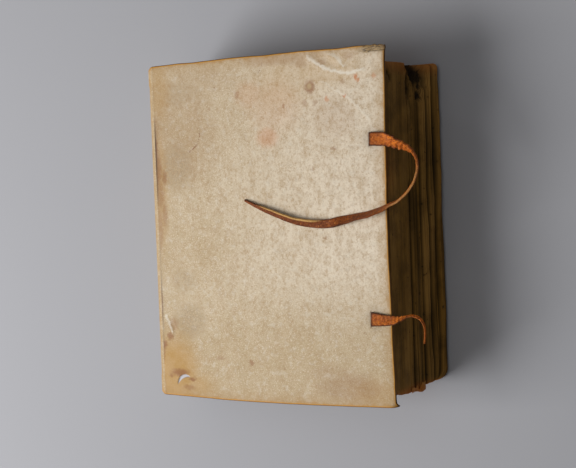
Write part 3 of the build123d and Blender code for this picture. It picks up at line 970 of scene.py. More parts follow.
def slit_shadow(x, y):
    """The dark cut on the spine side of each tie, with a smudge round it."""
    shade = 0 * x
    for (slit_x, slit_y), half in ((HEAD_SLIT, 4.2), (TAIL_SLIT, 4.3)):
        cut = bell(x, slit_x - 0.1, 0.5) * smooth(half - abs(y - slit_y), -0.4, 0.3)
        smudge = 0.32 * hill(x, y, (slit_x + 2.5, slit_y), (5.6, half + 1.6))
        shade = np.maximum(shade, np.maximum(cut, smudge))
    return shade


def cover_thickness(x, distance):
    """Doubled vellum in the turn-ins, single in the middle and by the fold."""
    edge_slope, fold_slope = 0.6, 0.5
    turned = 1 - smooth(distance, TURN_IN - edge_slope, TURN_IN + edge_slope)
    fold_end = JOINT_X + FOLD_RELIEF
    return VELLUM + (BOARD - VELLUM) * turned * smooth(x, fold_end - fold_slope, fold_end + fold_slope)


def cover_grid(half_at_fore, step, close_x, close_y):
    """The cover's points: their square places, their places with round corners, and the distance in.

    The distance is the one from the head, the tail or the fore-edge, whichever is nearest.
    """
    rim = rim_steps(BOARD / 2, RIM_LINES)
    fold = rim_steps(FOLD_RADIUS, FOLD_LINES)
    middle_x = grid_lines(FOLD_X + FOLD_RADIUS, FORE_X - BOARD / 2, step, close_x)
    middle_y = grid_lines(-HEAD_Y + BOARD / 2, HEAD_Y - BOARD / 2, step, close_y)
    x = np.concatenate([FOLD_X + fold[:-1], middle_x, FORE_X - rim[::-1][1:]])
    x, y = np.meshgrid(x, with_rims(middle_y, -HEAD_Y, HEAD_Y, rim), indexing="ij")
    half = half_length(x, half_at_fore)
    from_ends = HEAD_Y - abs(y)
    y = np.sign(y) * (half - from_ends)
    return x, y, *round_corners(x, y, half), np.minimum(from_ends, FORE_X - x)


def cover_sheets(x, distance, outer_z, inward):
    """The outer and inner height of a flat cover, which meet in rounded rims at all four edges."""
    thickness = cover_thickness(x, distance)
    middle = outer_z + inward * thickness / 2
    half = thickness / 2 * round_rim(distance, BOARD / 2) * round_rim(x - FOLD_X, FOLD_RADIUS)
    return middle - inward * half, middle + inward * half


def upper_plan(x, y, plan_x, plan_y):
    """The upper cover's outline: its edges bow and waver, and its head corner is frayed."""
    along = share_to_fore(x)
    side = y / HEAD_Y
    bow = along * (1 - along) * 4
    plan_y = plan_y + smooth(side, 0, 1) * (HEAD_BOW * bow + waves(x, 0, "head_edge"))
    plan_y = plan_y - smooth(-side, 0, 1) * (TAIL_BOW * bow + waves(x, 0, "tail_edge"))
    plan_x = plan_x - FORE_BOW * (1 - side**2) * smooth(along, 0.4, 1)
    plan_x = plan_x + waves(y, 0, "fore_edge") * smooth(along, 0.85, 1)
    return plan_x, plan_y + corner_share(x, y, FRAYED_EDGE) * waves(x, 0, "frayed_edge")


def upper_dirt_and_shade(x, y, plan_x, plan_y):
    """Dirt and painted shade of the upper cover: painted shade in its slits, dirt at its fore-edge corners
    and along its fold.
    """
    dirt_and_shade = slit_shadow(plan_x, plan_y)
    for centre, reach, strength in UPPER_DIRT:
        dirt_and_shade = np.maximum(dirt_and_shade, strength * hill(x, y, centre, reach))
    centre, reach, strength = FOLD_SMUDGE
    fold_dirt = bell(x, FOLD_X, 0.9) * (0.4 + waves(y, 0, "fold_dirt"))
    fold_dirt = fold_dirt + hill(x, y, centre, reach) * strength
    return np.clip(np.maximum(dirt_and_shade, fold_dirt), 0, 1)


def make_upper_cover(finish):
    """The upper cover: its flat sheets are lifted, bowed along the edges and pressed by its marks."""
    x, y, plan_x, plan_y, distance = cover_grid(HEAD_Y, 1.3, UPPER_CLOSE_X, UPPER_CLOSE_Y)
    plan_x, plan_y = upper_plan(x, y, plan_x, plan_y)
    head_corner = (FORE_X, HEAD_Y)
    nib = hill(x, y, (FORE_X, -HEAD_Y), NIB_REACH)
    plan_x = plan_x + NIB_OUT * nib + CORNER_OUT * hill(x, y, head_corner, CORNER_OUT_REACH)

    outer, inner = cover_sheets(x, distance, TOP_Z, -1)
    lift = upper_lift(x, y) * off_the_fold(x)
    within = smooth(distance, 0, 1.2) * off_the_fold(x)
    hole = crescent_mask(plan_x, plan_y)
    bent = NIB_DOWN * nib + CORNER_DOWN * hill(x, y, head_corner, CORNER_DOWN_REACH)
    pressed = upper_relief(plan_x, plan_y) * within - CRESCENT_DEPTH * hole
    sheets = [outer + lift + pressed - bent, inner + lift - bent]
    worn = 0.85 * corner_share(x, plan_y + waves(x, y, "worn_edge"), BARE_FIBRES)
    fields = {
        "outer": (1, 0),
        "rim": (distance, distance),
        "dirt_and_shade": (upper_dirt_and_shade(x, y, plan_x, plan_y), 0),
        "bare": (hole, 0),
        "worn": (worn, 0),
    }
    points = [grid_of(plan_x, plan_y, z) for z in sheets]
    make_piece("upper_cover_vellum", points, fields, "upper_board", finish, ["upper_cover"])


def make_lower_cover(finish):
    """The lower cover: flat on its outer face, and narrower towards the fore-edge."""
    x, y, plan_x, plan_y, distance = cover_grid(LOWER_FORE_HALF, 2.2, [], [])
    outer, inner = cover_sheets(x, distance, 0.0, 1)
    sunk = waves(x, y, "lower_inside") - 0.06
    inner = inner + sunk * smooth(distance, 1, 4) * off_the_fold(x)
    slit_cut = 0 * x
    half_wide, half_long, slit_depth = 0.8, 4.1, 0.4
    for slit_y in (HEAD_SLIT[1], TAIL_SLIT[1]):
        cut = smooth(half_wide - abs(x - HEAD_SLIT[0]), -0.5, 0.4)
        cut = cut * smooth(half_long - abs(y - slit_y), -0.5, 0.5)
        slit_cut = np.maximum(slit_cut, cut)
    pressed = slit_depth * slit_cut
    points = [grid_of(plan_x, plan_y, z) for z in (outer + pressed, inner - pressed)]
    fields = {"outer": (1, 0), "rim": (distance, distance), "dirt_and_shade": (slit_cut, slit_cut), "bare": (0, 0)}
    make_piece("lower_cover_vellum", points, fields, "lower_board", finish, ["lower_cover"])


def make_pastedown(side, outer_z, inward, half_at_fore, lift, finish):
    """A paper leaf laid over a cover's inner face: it follows the turn-ins, their steps and the cockle."""
    margin, gap, paper, step = 4.0, 0.06, 0.25, 2.4
    low, high = node_box(f"{side}_pastedown")
    steps = [(at - 2, at + 2, 0.5) for at in (FORE_X - TURN_IN, -HEAD_Y + TURN_IN, HEAD_Y - TURN_IN)]
    lines_x = grid_lines(low[0], high[0], step, steps[:1])
    x, y = np.meshgrid(lines_x, grid_lines(-HEAD_Y, HEAD_Y, step, steps[1:]), indexing="ij")
    half = half_length(x, half_at_fore)
    y = y / HEAD_Y * (half - margin)
    distance = np.minimum(half - abs(y), FORE_X - x)
    from_rim = np.minimum(np.minimum(distance - margin, x - low[0]), high[0] - x)
    near = outer_z + inward * (cover_thickness(x, distance) + gap) + lift(x, y) * off_the_fold(x)
    far = near + inward * paper * (0.3 + 0.7 * smooth(from_rim, 0, 0.6))
    far = np.where(from_rim <= 1e-6, near, far)
    points = [grid_of(x, y, z) for z in (near, far)]
    fields = {"rim": (from_rim, from_rim)}
    name, node = f"{side}_pastedown_paper", f"{side}_pastedown"
    make_piece(name, points, fields, f"{side}_board", finish, [node])


# Spine

SPINE_BOW = 0.8
SHOULDER_RADIUS = 3.2
LAP_GAP = 0.06
SPINE_LAP = 1.2
LAP_LINES = 8

# Its ends: how deep they're turned in, how much thicker that makes them, and how far they're worn in
SPINE_TURN_IN, SPINE_THICKENING = 12.5, 0.9
SPINE_WEAR, SPINE_WEAR_REACH = 2.2, 9


def spine_section():
    """The spine's outer line in X and Z, from the edge of its upper lap to the edge of its lower one.

    It runs along the upper lap, a quarter circle, the bowed wall, a quarter circle and the lower lap.
    """
    top_z = TOP_Z - VELLUM - LAP_GAP
    bottom_z = VELLUM + LAP_GAP
    wall_x = SPINE_X + SPINE_BOW
    centre_x = wall_x + SHOULDER_RADIUS
    low_z, high_z = bottom_z + SHOULDER_RADIUS, top_z - SHOULDER_RADIUS
    quarter = np.linspace(0, np.pi / 2, 12)[1:-1]
    over, aside = SHOULDER_RADIUS * np.cos(quarter), SHOULDER_RADIUS * np.sin(quarter)
    wall = np.linspace(1, 0, 40)
    bow = SPINE_BOW * 4 * wall * (1 - wall)
    laps = np.linspace(JOINT_X + SPINE_LAP, centre_x, LAP_LINES)
    x = np.concatenate([laps, centre_x - aside, wall_x - bow, centre_x - over, laps[::-1]])
    wall_z = low_z + wall * (high_z - low_z)
    z = np.concatenate([0 * laps + top_z, high_z + over, wall_z, low_z - aside, 0 * laps + bottom_z])
    return x, z


def make_spine(finish):
    """The spine of the wrapper: a bowed strip with rounded shoulders that laps under both covers.

    The inner face is the section's line set in by the vellum's thickness, which is greater at the
    turned-in ends of the wall.
    """
    section_x, section_z = spine_section()
    slope_x, slope_z = np.gradient(section_x), np.gradient(section_z)
    length = np.hypot(slope_x, slope_z)
    normal_x, normal_z = slope_z / length, -slope_x / length
    along = np.concatenate([[0], np.cumsum(np.hypot(np.diff(section_x), np.diff(section_z)))])
    middle_y = np.linspace(-HEAD_Y + VELLUM / 2, HEAD_Y - VELLUM / 2, 130)
    y = with_rims(middle_y, -HEAD_Y, HEAD_Y, rim_steps(VELLUM / 2, 3))[:, None]
    from_end = HEAD_Y - abs(y)
    free = smooth(along, 3, 7) * (1 - smooth(along, along[-1] - 7, along[-1] - 3))
    rolling = waves(y, along, "spine_roll") - 0.12 + waves(y, along, "spine_fine")
    push = 0.8 * rolling * free
    thickness = VELLUM * (1 + SPINE_THICKENING * free * smooth(SPINE_TURN_IN - from_end, 0, 1))
    round_share = round_rim(from_end, VELLUM / 2) * round_rim(np.minimum(along, along[-1] - along), 0.5)
    middle = push - VELLUM / 2
    sets_in = [middle + VELLUM / 2 * round_share, middle - (thickness - VELLUM / 2) * round_share]
    outwards = np.clip((SPINE_X + SPINE_BOW + SHOULDER_RADIUS - section_x) / SHOULDER_RADIUS, 0, 1)
    worn_in = SPINE_WEAR * outwards**1.5 * smooth(abs(y), HEAD_Y - SPINE_WEAR_REACH, HEAD_Y)
    grids = []
    for set_in in sets_in:
        x, z = section_x - normal_x * set_in, section_z - normal_z * set_in
        grids.append(grid_of(x, y - np.sign(y) * worn_in, z))
    shoulder = 1.4 + 1.3 * np.abs(along - along[LAP_LINES + 4])
    rim = np.minimum(from_end, shoulder)
    crease = bell(along, 3.1, 1.1) * (0.35 + waves(y, 0, "spine_crease"))
    darker = 0.6 * bell(y, 46, 14) * bell(along, 3.4, 1.4)
    crease = np.clip(crease + darker, 0, 1)
    fields = {"outer": (1, 0), "rim": (rim, rim), "dirt_and_shade": (crease, 0), "bare": (0, 0)}
    make_piece("spine_vellum", grids, fields, "leaves_and_spine", finish, ["spine_cover"])


# Text block

GATHERINGS = 14
LEAVES_EACH = 8
LOWER_GATHERINGS, MIDDLE_GATHERINGS = 3, 3
LEDGED_GATHERINGS = LOWER_GATHERINGS + MIDDLE_GATHERINGS
LOWER_LEDGE, MIDDLE_LEDGE = 3.2, 0.45
END_EXTRA = 1.2
BLOCK_X = block_low[0]
BLOCK_BOTTOM, BLOCK_TOP = block_low[2], block_high[2]
GATHERING = (BLOCK_TOP - BLOCK_BOTTOM) / GATHERINGS
LEAF = GATHERING / LEAVES_EACH
BLOCK_TAIL = block_low[1] + END_EXTRA
BLOCK_HEAD = block_high[1] - END_EXTRA
LEAF_FORE_X = block_high[0] - LOWER_GATHERINGS * LOWER_LEDGE - MIDDLE_GATHERINGS * MIDDLE_LEDGE
FISSURE_Z = BLOCK_BOTTOM + LEDGED_GATHERINGS * GATHERING

# Where the leaves end at the tail and the head, by height: the block spreads towards its foot
TAIL_END_STOPS = [
    (2, -93.6), (10, -94.2), (13.5, -94.9), (15.5, -95.3), (17, -97.0),
    (20, -97.6), (30, -96.0), (36, -96.2), (45, -95.3), (58, -93.1),
]
HEAD_END_STOPS = [(2, 92.6), (13.5, 92.0), (22, 91.6), (25.2, 91.7), (26.2, 92.4), (58, 91.2)]

# Each gnawed place: x, y and z, its reach along Y and Z, and its strength
GNAWED_PLACES = [
    (72.5, 90.5, 21.0, 4.5, 3.6, 1.2),
    (73.0, 87.0, 16.5, 5.5, 3.6, 1.2),
    (76.5, 84.0, 12.4, 5.5, 2.2, 1.2),
    (72.5, 79.5, 23.5, 6.5, 2.2, 1.0),
    (76.5, 74.5, 13.0, 2.6, 1.7, 1.1),
    (72.0, 85.2, 52.3, 1.2, 1.4, 0.7),
    (72.0, 82.7, 49.6, 1.4, 1.2, 0.7),
]
# How much paler each gathering's edges are painted: partly their own colour, partly painted light where
# gatherings stand out
GATHERING_BRIGHTNESS = np.array([0.22, 0.3, 0.65, 0.1, 0.2, 0.3] + [0.25] * 8)
OFFSET_SEED = 83
CALM_OFFSET, ROUGH_OFFSET = 0.1, 0.55
LEAF_ROWS = np.array([0.0, 0.3, 0.75])
FOLD_ROUNDING = 1.9

# The radius of an upper leaf's corner, and what each ledge below adds
TAIL_CORNER, TAIL_CORNER_GROWTH = 0.7, 2.4
HEAD_CORNER, HEAD_CORNER_GROWTH = 0.9, 0.7

# How deep the gnawed places, the grooves between leaves and between gatherings, and the fissure are
GNAWED_DEPTH = 3.4
LEAF_GROOVE, GATHERING_GROOVE = 0.16, 0.75
FISSURE_DEPTH, FISSURE_HALF, FISSURE_HEAD_Y = 2.0, 0.62, 28
RING_SHARES = np.array([0.996, 0.985, 0.95, 0.88, 0.75, 0.55, 0.3, 0.0])[:, None]


def leaf_rows(first, last):
    """Three rows of points for each leaf of the gatherings first to last, counted from below.

    Each leaf has one row in the groove below it and two on its edge. Returns the heights, the
    leaves' numbers and 1 for the rows in a groove.
    """
    numbers = np.arange(first * LEAVES_EACH, last * LEAVES_EACH)
    heights = BLOCK_BOTTOM + (numbers[:, None] + LEAF_ROWS) * LEAF
    in_groove = np.tile(1.0 * (LEAF_ROWS == 0), len(numbers))
    heights = np.append(heights.ravel(), BLOCK_BOTTOM + last * GATHERING)
    return heights, np.append(np.repeat(numbers, len(LEAF_ROWS)), numbers[-1]), np.append(in_groove, 1.0)


def leaf_outline(low_x, high_x, low_y, high_y, tail_radius, head_radius):
    """For each row, the points round a leaf: fore-edge, head corner, head, spine, tail and tail corner.

    The sizes are columns, one number a row, so that the whole stack is worked out at once.
    """
    level = 0 * low_x
    fore = np.linspace(0, 1, 190) + level
    end = np.linspace(0, 1, 78)[1:] + level
    fold = np.linspace(0, 1, 50)[1:] + level
    turn = np.linspace(0, np.pi / 2, 9)[1:]
    tail_x, head_x = high_x - tail_radius, high_x - head_radius
    tail_y, head_y = low_y + tail_radius, high_y - head_radius
    x = [high_x + 0 * fore, head_x + head_radius * np.cos(turn), head_x + end * (low_x - head_x)]
    x += [low_x + 0 * fold, low_x + end * (tail_x - low_x), tail_x + tail_radius * np.sin(turn)]
    y = [tail_y + fore * (head_y - tail_y), head_y + head_radius * np.sin(turn), high_y + 0 * end]
    y += [high_y + fold * (low_y - high_y), low_y + 0 * end, tail_y - tail_radius * np.cos(turn)]
    return np.concatenate(x, axis=1), np.concatenate(y, axis=1)


def leaf_offsets():
    """How far each leaf stands out of line with its neighbours: at the fore-edge, head and tail."""
    draw = np.random.default_rng(OFFSET_SEED)
    total = GATHERINGS * LEAVES_EACH
    calm = draw.normal(0, CALM_OFFSET, (3, total))
    rough = draw.normal(0, ROUGH_OFFSET, (3, total))
    loose = np.clip(1 - np.arange(total) / (LEDGED_GATHERINGS * LEAVES_EACH), 0, 1) ** 0.5
    drift = np.stack([np.convolve(row, np.ones(3) / 3, "same") for row in rough])
    return calm * (0.5 + 0.5 * loose) + drift * loose


def gnawed_mask(x, y, z):
    """Up to 1 where mice gnawed the leaves: a bell about each gnawed place, with a ragged rim."""
    mask = 0 * x
    for gnawed_x, gnawed_y, gnawed_z, reach_y, reach_z, strength in GNAWED_PLACES:
        near = hill(y, z, (gnawed_y, gnawed_z), (reach_y, reach_z))
        mask = np.maximum(mask, strength * near * smooth(x, gnawed_x - 6, gnawed_x - 3))
    return np.clip(mask * (1.7 + waves(y, 2.5 * z, "gnawed_rim")), 0, 1)


def closing_rings(x, y, z, height):
    """Rings that shrink from a row of points to the middle of its face, and turn level on the way."""
    middle_x, middle_y = (BLOCK_X + LEAF_FORE_X) / 2, (BLOCK_TAIL + BLOCK_HEAD) / 2
    ring_x = middle_x + RING_SHARES * (x - middle_x)
    ring_y = middle_y + RING_SHARES * (y - middle_y)
    return grid_of(ring_x, ring_y, height + RING_SHARES**30 * (z - height))


def make_leaves(name, first, last, finish):
    """A stack of leaves as one closed skin: rows round each leaf, then rings that close both faces.

    Each gathering is rounded at its fold, the lower ones stand further out, and the fore-edge has
    grooves between leaves, a fissure between two gatherings and the gnawed hollows.
    """
    heights, numbers, in_groove = leaf_rows(first, last)
    gathering = numbers // LEAVES_EACH
    lowest = gathering < LOWER_GATHERINGS
    ledged = gathering < LEDGED_GATHERINGS
    inside_fold = (heights - BLOCK_BOTTOM) / GATHERING - gathering
    fold_round = FOLD_ROUNDING * (1 - np.sqrt(np.clip(1 - (2 * inside_fold - 1) ** 2, 0, 1)))
    steps_below = np.clip(LOWER_GATHERINGS - gathering, 0, LOWER_GATHERINGS)
    lower = steps_below - 0.3 * np.where(lowest, inside_fold, 0)
    middle = np.clip(LEDGED_GATHERINGS - gathering, 0, MIDDLE_GATHERINGS)
    fore_offset, head_offset, tail_offset = leaf_offsets()[:, numbers]
    fore_offset = fore_offset * np.where(lowest, 0.8, 0.3)
    high_x = LEAF_FORE_X + lower * LOWER_LEDGE + middle * MIDDLE_LEDGE + fore_offset
    high_y = profile(heights, HEAD_END_STOPS) + head_offset * 0.5
    low_y = profile(heights, TAIL_END_STOPS) - tail_offset * 0.5
    tail_radius = TAIL_CORNER + TAIL_CORNER_GROWTH * steps_below + 0.6 * np.abs(tail_offset)
    head_radius = HEAD_CORNER + HEAD_CORNER_GROWTH * steps_below
    sizes = (BLOCK_X + fold_round, high_x, low_y, high_y, tail_radius, head_radius)
    x, y = leaf_outline(*(size[:, None] for size in sizes))
    z = heights[:, None] + 0 * x

    at_fore = smooth(x, LEAF_FORE_X - 12, LEAF_FORE_X - 2)
    at_ends = smooth(abs(y), BLOCK_HEAD - 6, BLOCK_HEAD - 1)
    leaf_wave = waves(y, 7.0 * numbers[:, None], "leaf_edge") * np.where(lowest, 0.5, 0.12)[:, None]
    x = x + at_fore * leaf_wave
    gnawed = gnawed_mask(x, y, z) * at_fore
    x = x - at_fore * gnawed * GNAWED_DEPTH * (1 + waves(y, 3 * z, "gnawed_depth"))
    between = 1.0 * (np.abs(inside_fold) < 0.01)
    tail_part = 1 - 0.8 * smooth(y, 50, 84)
    wider = GATHERING_GROOVE * between * np.where(gathering <= LEDGED_GATHERINGS, 1, 0.25)
    depth = in_groove * (LEAF_GROOVE + wider)
    uneven = 0.6 + waves(y, 5.0 * numbers[:, None], "groove_depth")
    groove = depth[:, None] * uneven * tail_part
    x = x - at_fore * groove
    y = y - np.sign(y) * at_ends * groove * 0.6
    mouth = at_fore * smooth(FISSURE_HEAD_Y - y, 0, 12) * bell(z, FISSURE_Z, 1.3)
    opened = FISSURE_HALF if first >= LEDGED_GATHERINGS else -FISSURE_HALF
    x, z = x - FISSURE_DEPTH * mouth, z + opened * mouth

    # How much paler each leaf's edge is: partly its own uneven colour, partly painted light where leaves and
    # gatherings stand out, paler towards the head, and less in the grooves as painted shade
    drift = waves(y, 40.0 * gathering[:, None], "leaf_colour")
    paler_and_lit = GATHERING_BRIGHTNESS[gathering][:, None] + 0.35 * fore_offset[:, None] + 0.3 * leaf_wave + drift
    head_light = 0.9 * smooth(y, 88, 91.5) + 0.25 * smooth(y, 30, 85)
    paler_and_lit = paler_and_lit + head_light * np.where(ledged, 1, 0.15)[:, None]
    paler_and_lit = np.clip(paler_and_lit, 0, 1) * (1 - 0.8 * in_groove[:, None])
    # Painted shade, near black, in the grooves between gatherings and in the fissure; the gnawed hollows are
    # darkened too
    shut = 0.9 * at_fore * (in_groove * between)[:, None] * tail_part
    gap_shade_and_hollows = np.maximum(np.maximum(gnawed, mouth), shut)
    low_rings = closing_rings(x[0], y[0], z[0], heights[0])[::-1]
    high_rings = closing_rings(x[-1], y[-1], z[-1], heights[-1])
    points = np.concatenate([low_rings, grid_of(x, y, z), high_rings])
    page = (1 - RING_SHARES) * 82 + 0 * x[:1]
    fields = {
        "inside": [np.concatenate([page[::-1], 0 * x, page])],
        "paler_and_lit": [np.concatenate([0 * page, paler_and_lit, 0 * page])],
        "gap_shade_and_hollows": [np.concatenate([0 * page, gap_shade_and_hollows, 0 * page])],
    }
    make_piece(name, [points], fields, "leaves_and_spine", finish, ["text_block"])


def make_torn_leaf(finish):
    """A torn flap of a leaf at the tail corner: a thin sheet that lies on the edge and curls out."""
    foot_z, height, peak = 15.5, 19.0, 0.3
    up = np.linspace(0, 1, 46)[:, None]
    out = np.linspace(0, 1, 40)[None, :]
    z = foot_z + height * up + 0 * out
    tear = waves(14 * up, 0, "torn_edge")
    reach = 2.2 + tear + 3.2 * bell(up, peak, 0.2) * (1 + 0.3 * tear)
    y = profile(z, TAIL_END_STOPS) - 0.25 + out * np.maximum(reach, 0.8)
    lifted = 1.2 * bell(up, peak, 0.16) * np.sin(np.pi * out) ** 1.5
    x = LEAF_FORE_X + 0.75 + waves(14 * up, 6 * out, "torn_curl") + lifted
    x = x + profile(z, [(14, 1.35), (18, 0.9), (22, 0.45), (27, 0)])
    from_rim = np.minimum(np.minimum(up, 1 - up) * 18, np.minimum(out, 1 - out) * 6)
    half = 0.14 * round_rim(from_rim, 0.5)
    grids = [grid_of(x + side * half, y, z) for side in (1, -1)]
    fields = {"inside": (0, 0), "paler_and_lit": (0.9, 0.9), "gap_shade_and_hollows": (0, 0)}
    make_piece("torn_leaf", grids, fields, "leaves_and_spine", finish)


# Endbands

WINDING_TURNS = 38
THREAD_SWELL = 0.35


def make_endband(end, finish):
    """Thread wound over a rolled core: a tube whose radius swells and dips along a slow helix."""
    node = f"{end}_endband_winding"
    low, high = node_box(node)
    centre_x, centre_y = (low[0] + high[0]) / 2, (low[1] + high[1]) / 2
    radius = (high[0] - low[0]) / 2
    around = np.linspace(0, 2 * np.pi, 33)[None, :]
    height = np.linspace(low[2], high[2], 420)[:, None]
    phase = np.pi * WINDING_TURNS * (height - low[2]) / (high[2] - low[2]) + around / 2
    swell = np.sqrt(np.abs(np.sin(phase)))
    from_end = np.minimum(height - low[2], high[2] - height)
    reach = (radius - THREAD_SWELL + THREAD_SWELL * swell) * round_rim(from_end, 1.2)
    points = grid_of(centre_x + reach * np.cos(around), centre_y + reach * np.sin(around), height)
    name = f"{end}_endband_thread"
    make_piece(name, [points], {}, "leaves_and_spine", finish, [node])


# Ties: the same route points as the CAD straps, in metres

HEAD_ROUTE = [
    (0.062525, 0.0488, 0.06075),
    (0.0785, 0.0484, 0.0613),
    (0.0905, 0.0425, 0.0636),
    (0.0930, 0.0300, 0.0649),
    (0.0860, 0.0200, 0.0647),
    (0.0700, 0.0088, 0.0641),
    (0.0480, 0.0036, 0.0637),
    (0.0280, 0.0020, 0.0633),
    (0.0080, 0.0063, 0.0624),
    (-0.0176, 0.0174, 0.0610),
]
TAIL_ROUTE = [
    (0.060025, -0.0509, 0.06075),
    (0.0710, -0.0516, 0.0611),
    (0.0780, -0.0508, 0.0620),
    (0.0845, -0.0478, 0.0628),
    (0.0910, -0.0498, 0.0629),
    (0.0930, -0.0565, 0.0626),
    (0.0918, -0.0635, 0.0622),
]
CURVE_STEPS = 40
STATIONS = 380
SQUARENESS = 6
SLIT_DIVE = 2.0
CUPPING = 0.2

# The shape of each strap as stops, each a distance along it and a value there. Sizes are in
# millimetres, the turn about its run is in degrees, and the others are shares. What isn't given is 0.
HEAD_TIE_SHAPE = {
    "width": [
        (0, 7.6), (24, 7.4), (48, 6.6), (84, 6.0), (97, 5.8), (108, 5.0),
        (120, 4.8), (134, 4.4), (146, 3.7), (156, 2.6), (163, 1.6),
    ],
    "thickness": [(0, 1.35), (120, 1.4), (146, 1.1), (163, 0.9)],
    "turn": [
        (0, 0), (8, -3), (13, -22), (18, -44), (24, -59), (31, -70), (50, -70), (62, -76),
        (74, -62), (86, -58), (98, -36), (107, -4), (117, 30), (130, 36), (146, 34), (163, 46),
    ],
    "settled": [
        (0, 0), (66, 0), (84, 0.4), (97, 1.3), (107, 2.0),
        (117, 1.3), (134, 0.3), (150, 0.0), (163, 0.1),
    ],
    "shifted": [
        (0, 0), (8, 0), (13, 0.6), (18, 1.5), (24, 1.3), (30, 0.7), (36, 0.1), (42, 0),
        (49, -0.8), (55, -1.3), (60, -1.3), (67, -0.2), (78, 0.3), (88, 0.8), (97, 0.6), (106, 0),
    ],
    "wrinkles": [(6, 0.1), (10, 0.3), (14, 1.1), (22, 1), (30, 0.5), (40, 0.15), (60, 0)],
    # The face's darker colour: partly the leather's own, partly painted shade
    "dark_and_shaded_face": [
        (0, 0.5), (6, 0.25), (10, 0), (46, 0.2), (66, 0.6),
        (84, 0.85), (98, 0.85), (108, 0.9), (120, 1),
    ],
    # Darker rims: partly dark cut edges, partly painted contact shadow
    "dark_edge_and_shade": [
        (0, 1), (12, 0.9), (24, 0.6), (46, 0.2),
        (90, 0.3), (100, 0.8), (112, 0.6), (130, 0.4),
    ],
    # Paler cut edges, partly their own colour and partly a painted highlight, then a painted highlight strip
    # along the face
    "pale_edge_and_highlight": [(34, 0), (44, 0.45), (60, 0.4), (72, 0.0)],
    "highlight_strip": [(108, 0), (116, 1), (146, 0.9), (154, 0)],
    "pricked": [(0, 0.4), (30, 0.2), (60, 0)],
    "declared_width": 6.6,
    "seed": 107,
}
TAIL_TIE_SHAPE = {
    "width": [(0, 7.9), (8, 6.6), (14, 5.2), (19, 3.3), (24, 2.0), (32, 1.5), (40, 1.1), (46, 0.9)],
    "thickness": [(0, 1.35), (16, 1.1), (26, 0.8), (46, 0.65)],
    "turn": [(0, 0), (12, 8), (18, 40), (23, 62), (34, 60), (46, 60)],
    "wrinkles": [(4, 0.1), (9, 0.3), (16, 0.5), (30, 0.4), (40, 0)],
    # A slightly darker face: partly the leather's own colour, partly painted shade
    "dark_and_shaded_face": [(0, 0.3), (18, 0.2), (46, 0.0)],
    # Darker rims: partly dark cut edges, partly painted contact shadow
    "dark_edge_and_shade": [(0, 1), (20, 0.9), (26, 0.5), (46, 0.2)],
    "pricked": [(0, 1), (24, 0.9), (34, 0.3)],
    "declared_width": 5.2,
    "seed": 113,
}
LEVEL = [(0, 0), (1, 0)]


def route_line(name, route):
    """The points that Blender gives along the smooth NURBS curve of a route, in millimetres."""
    curve = bpy.data.curves.new(name, "CURVE")
    curve.dimensions = "3D"
    curve.resolution_u = CURVE_STEPS
    spline = curve.splines.new("NURBS")
    spline.points.add(len(route) - 1)
    for point, place in zip(spline.points, route):
        point.co = (*place, 1.0)
    spline.order_u = 3
    spline.use_endpoint_u = True
    holder = bpy.data.objects.new(name, curve)
    mesh = bpy.data.meshes.new_from_object(holder)
    line = np.array([vertex.co for vertex in mesh.vertices])
    bpy.data.objects.remove(holder)
    bpy.data.curves.remove(curve)
    bpy.data.meshes.remove(mesh)
    return line / MM


def stations(line):
    """Evenly spaced places along a line, their headings, and its length."""
    gone = np.concatenate([[0], np.cumsum(np.linalg.norm(np.diff(line, axis=0), axis=1))])
    at = np.linspace(0, gone[-1], STATIONS)
    centre = np.stack([np.interp(at, gone, line[:, number]) for number in range(3)], axis=1)
    heading = np.gradient(centre, axis=0)
    heading = heading / np.linalg.norm(heading, axis=1, keepdims=True)
    return centre, heading, gone[-1]


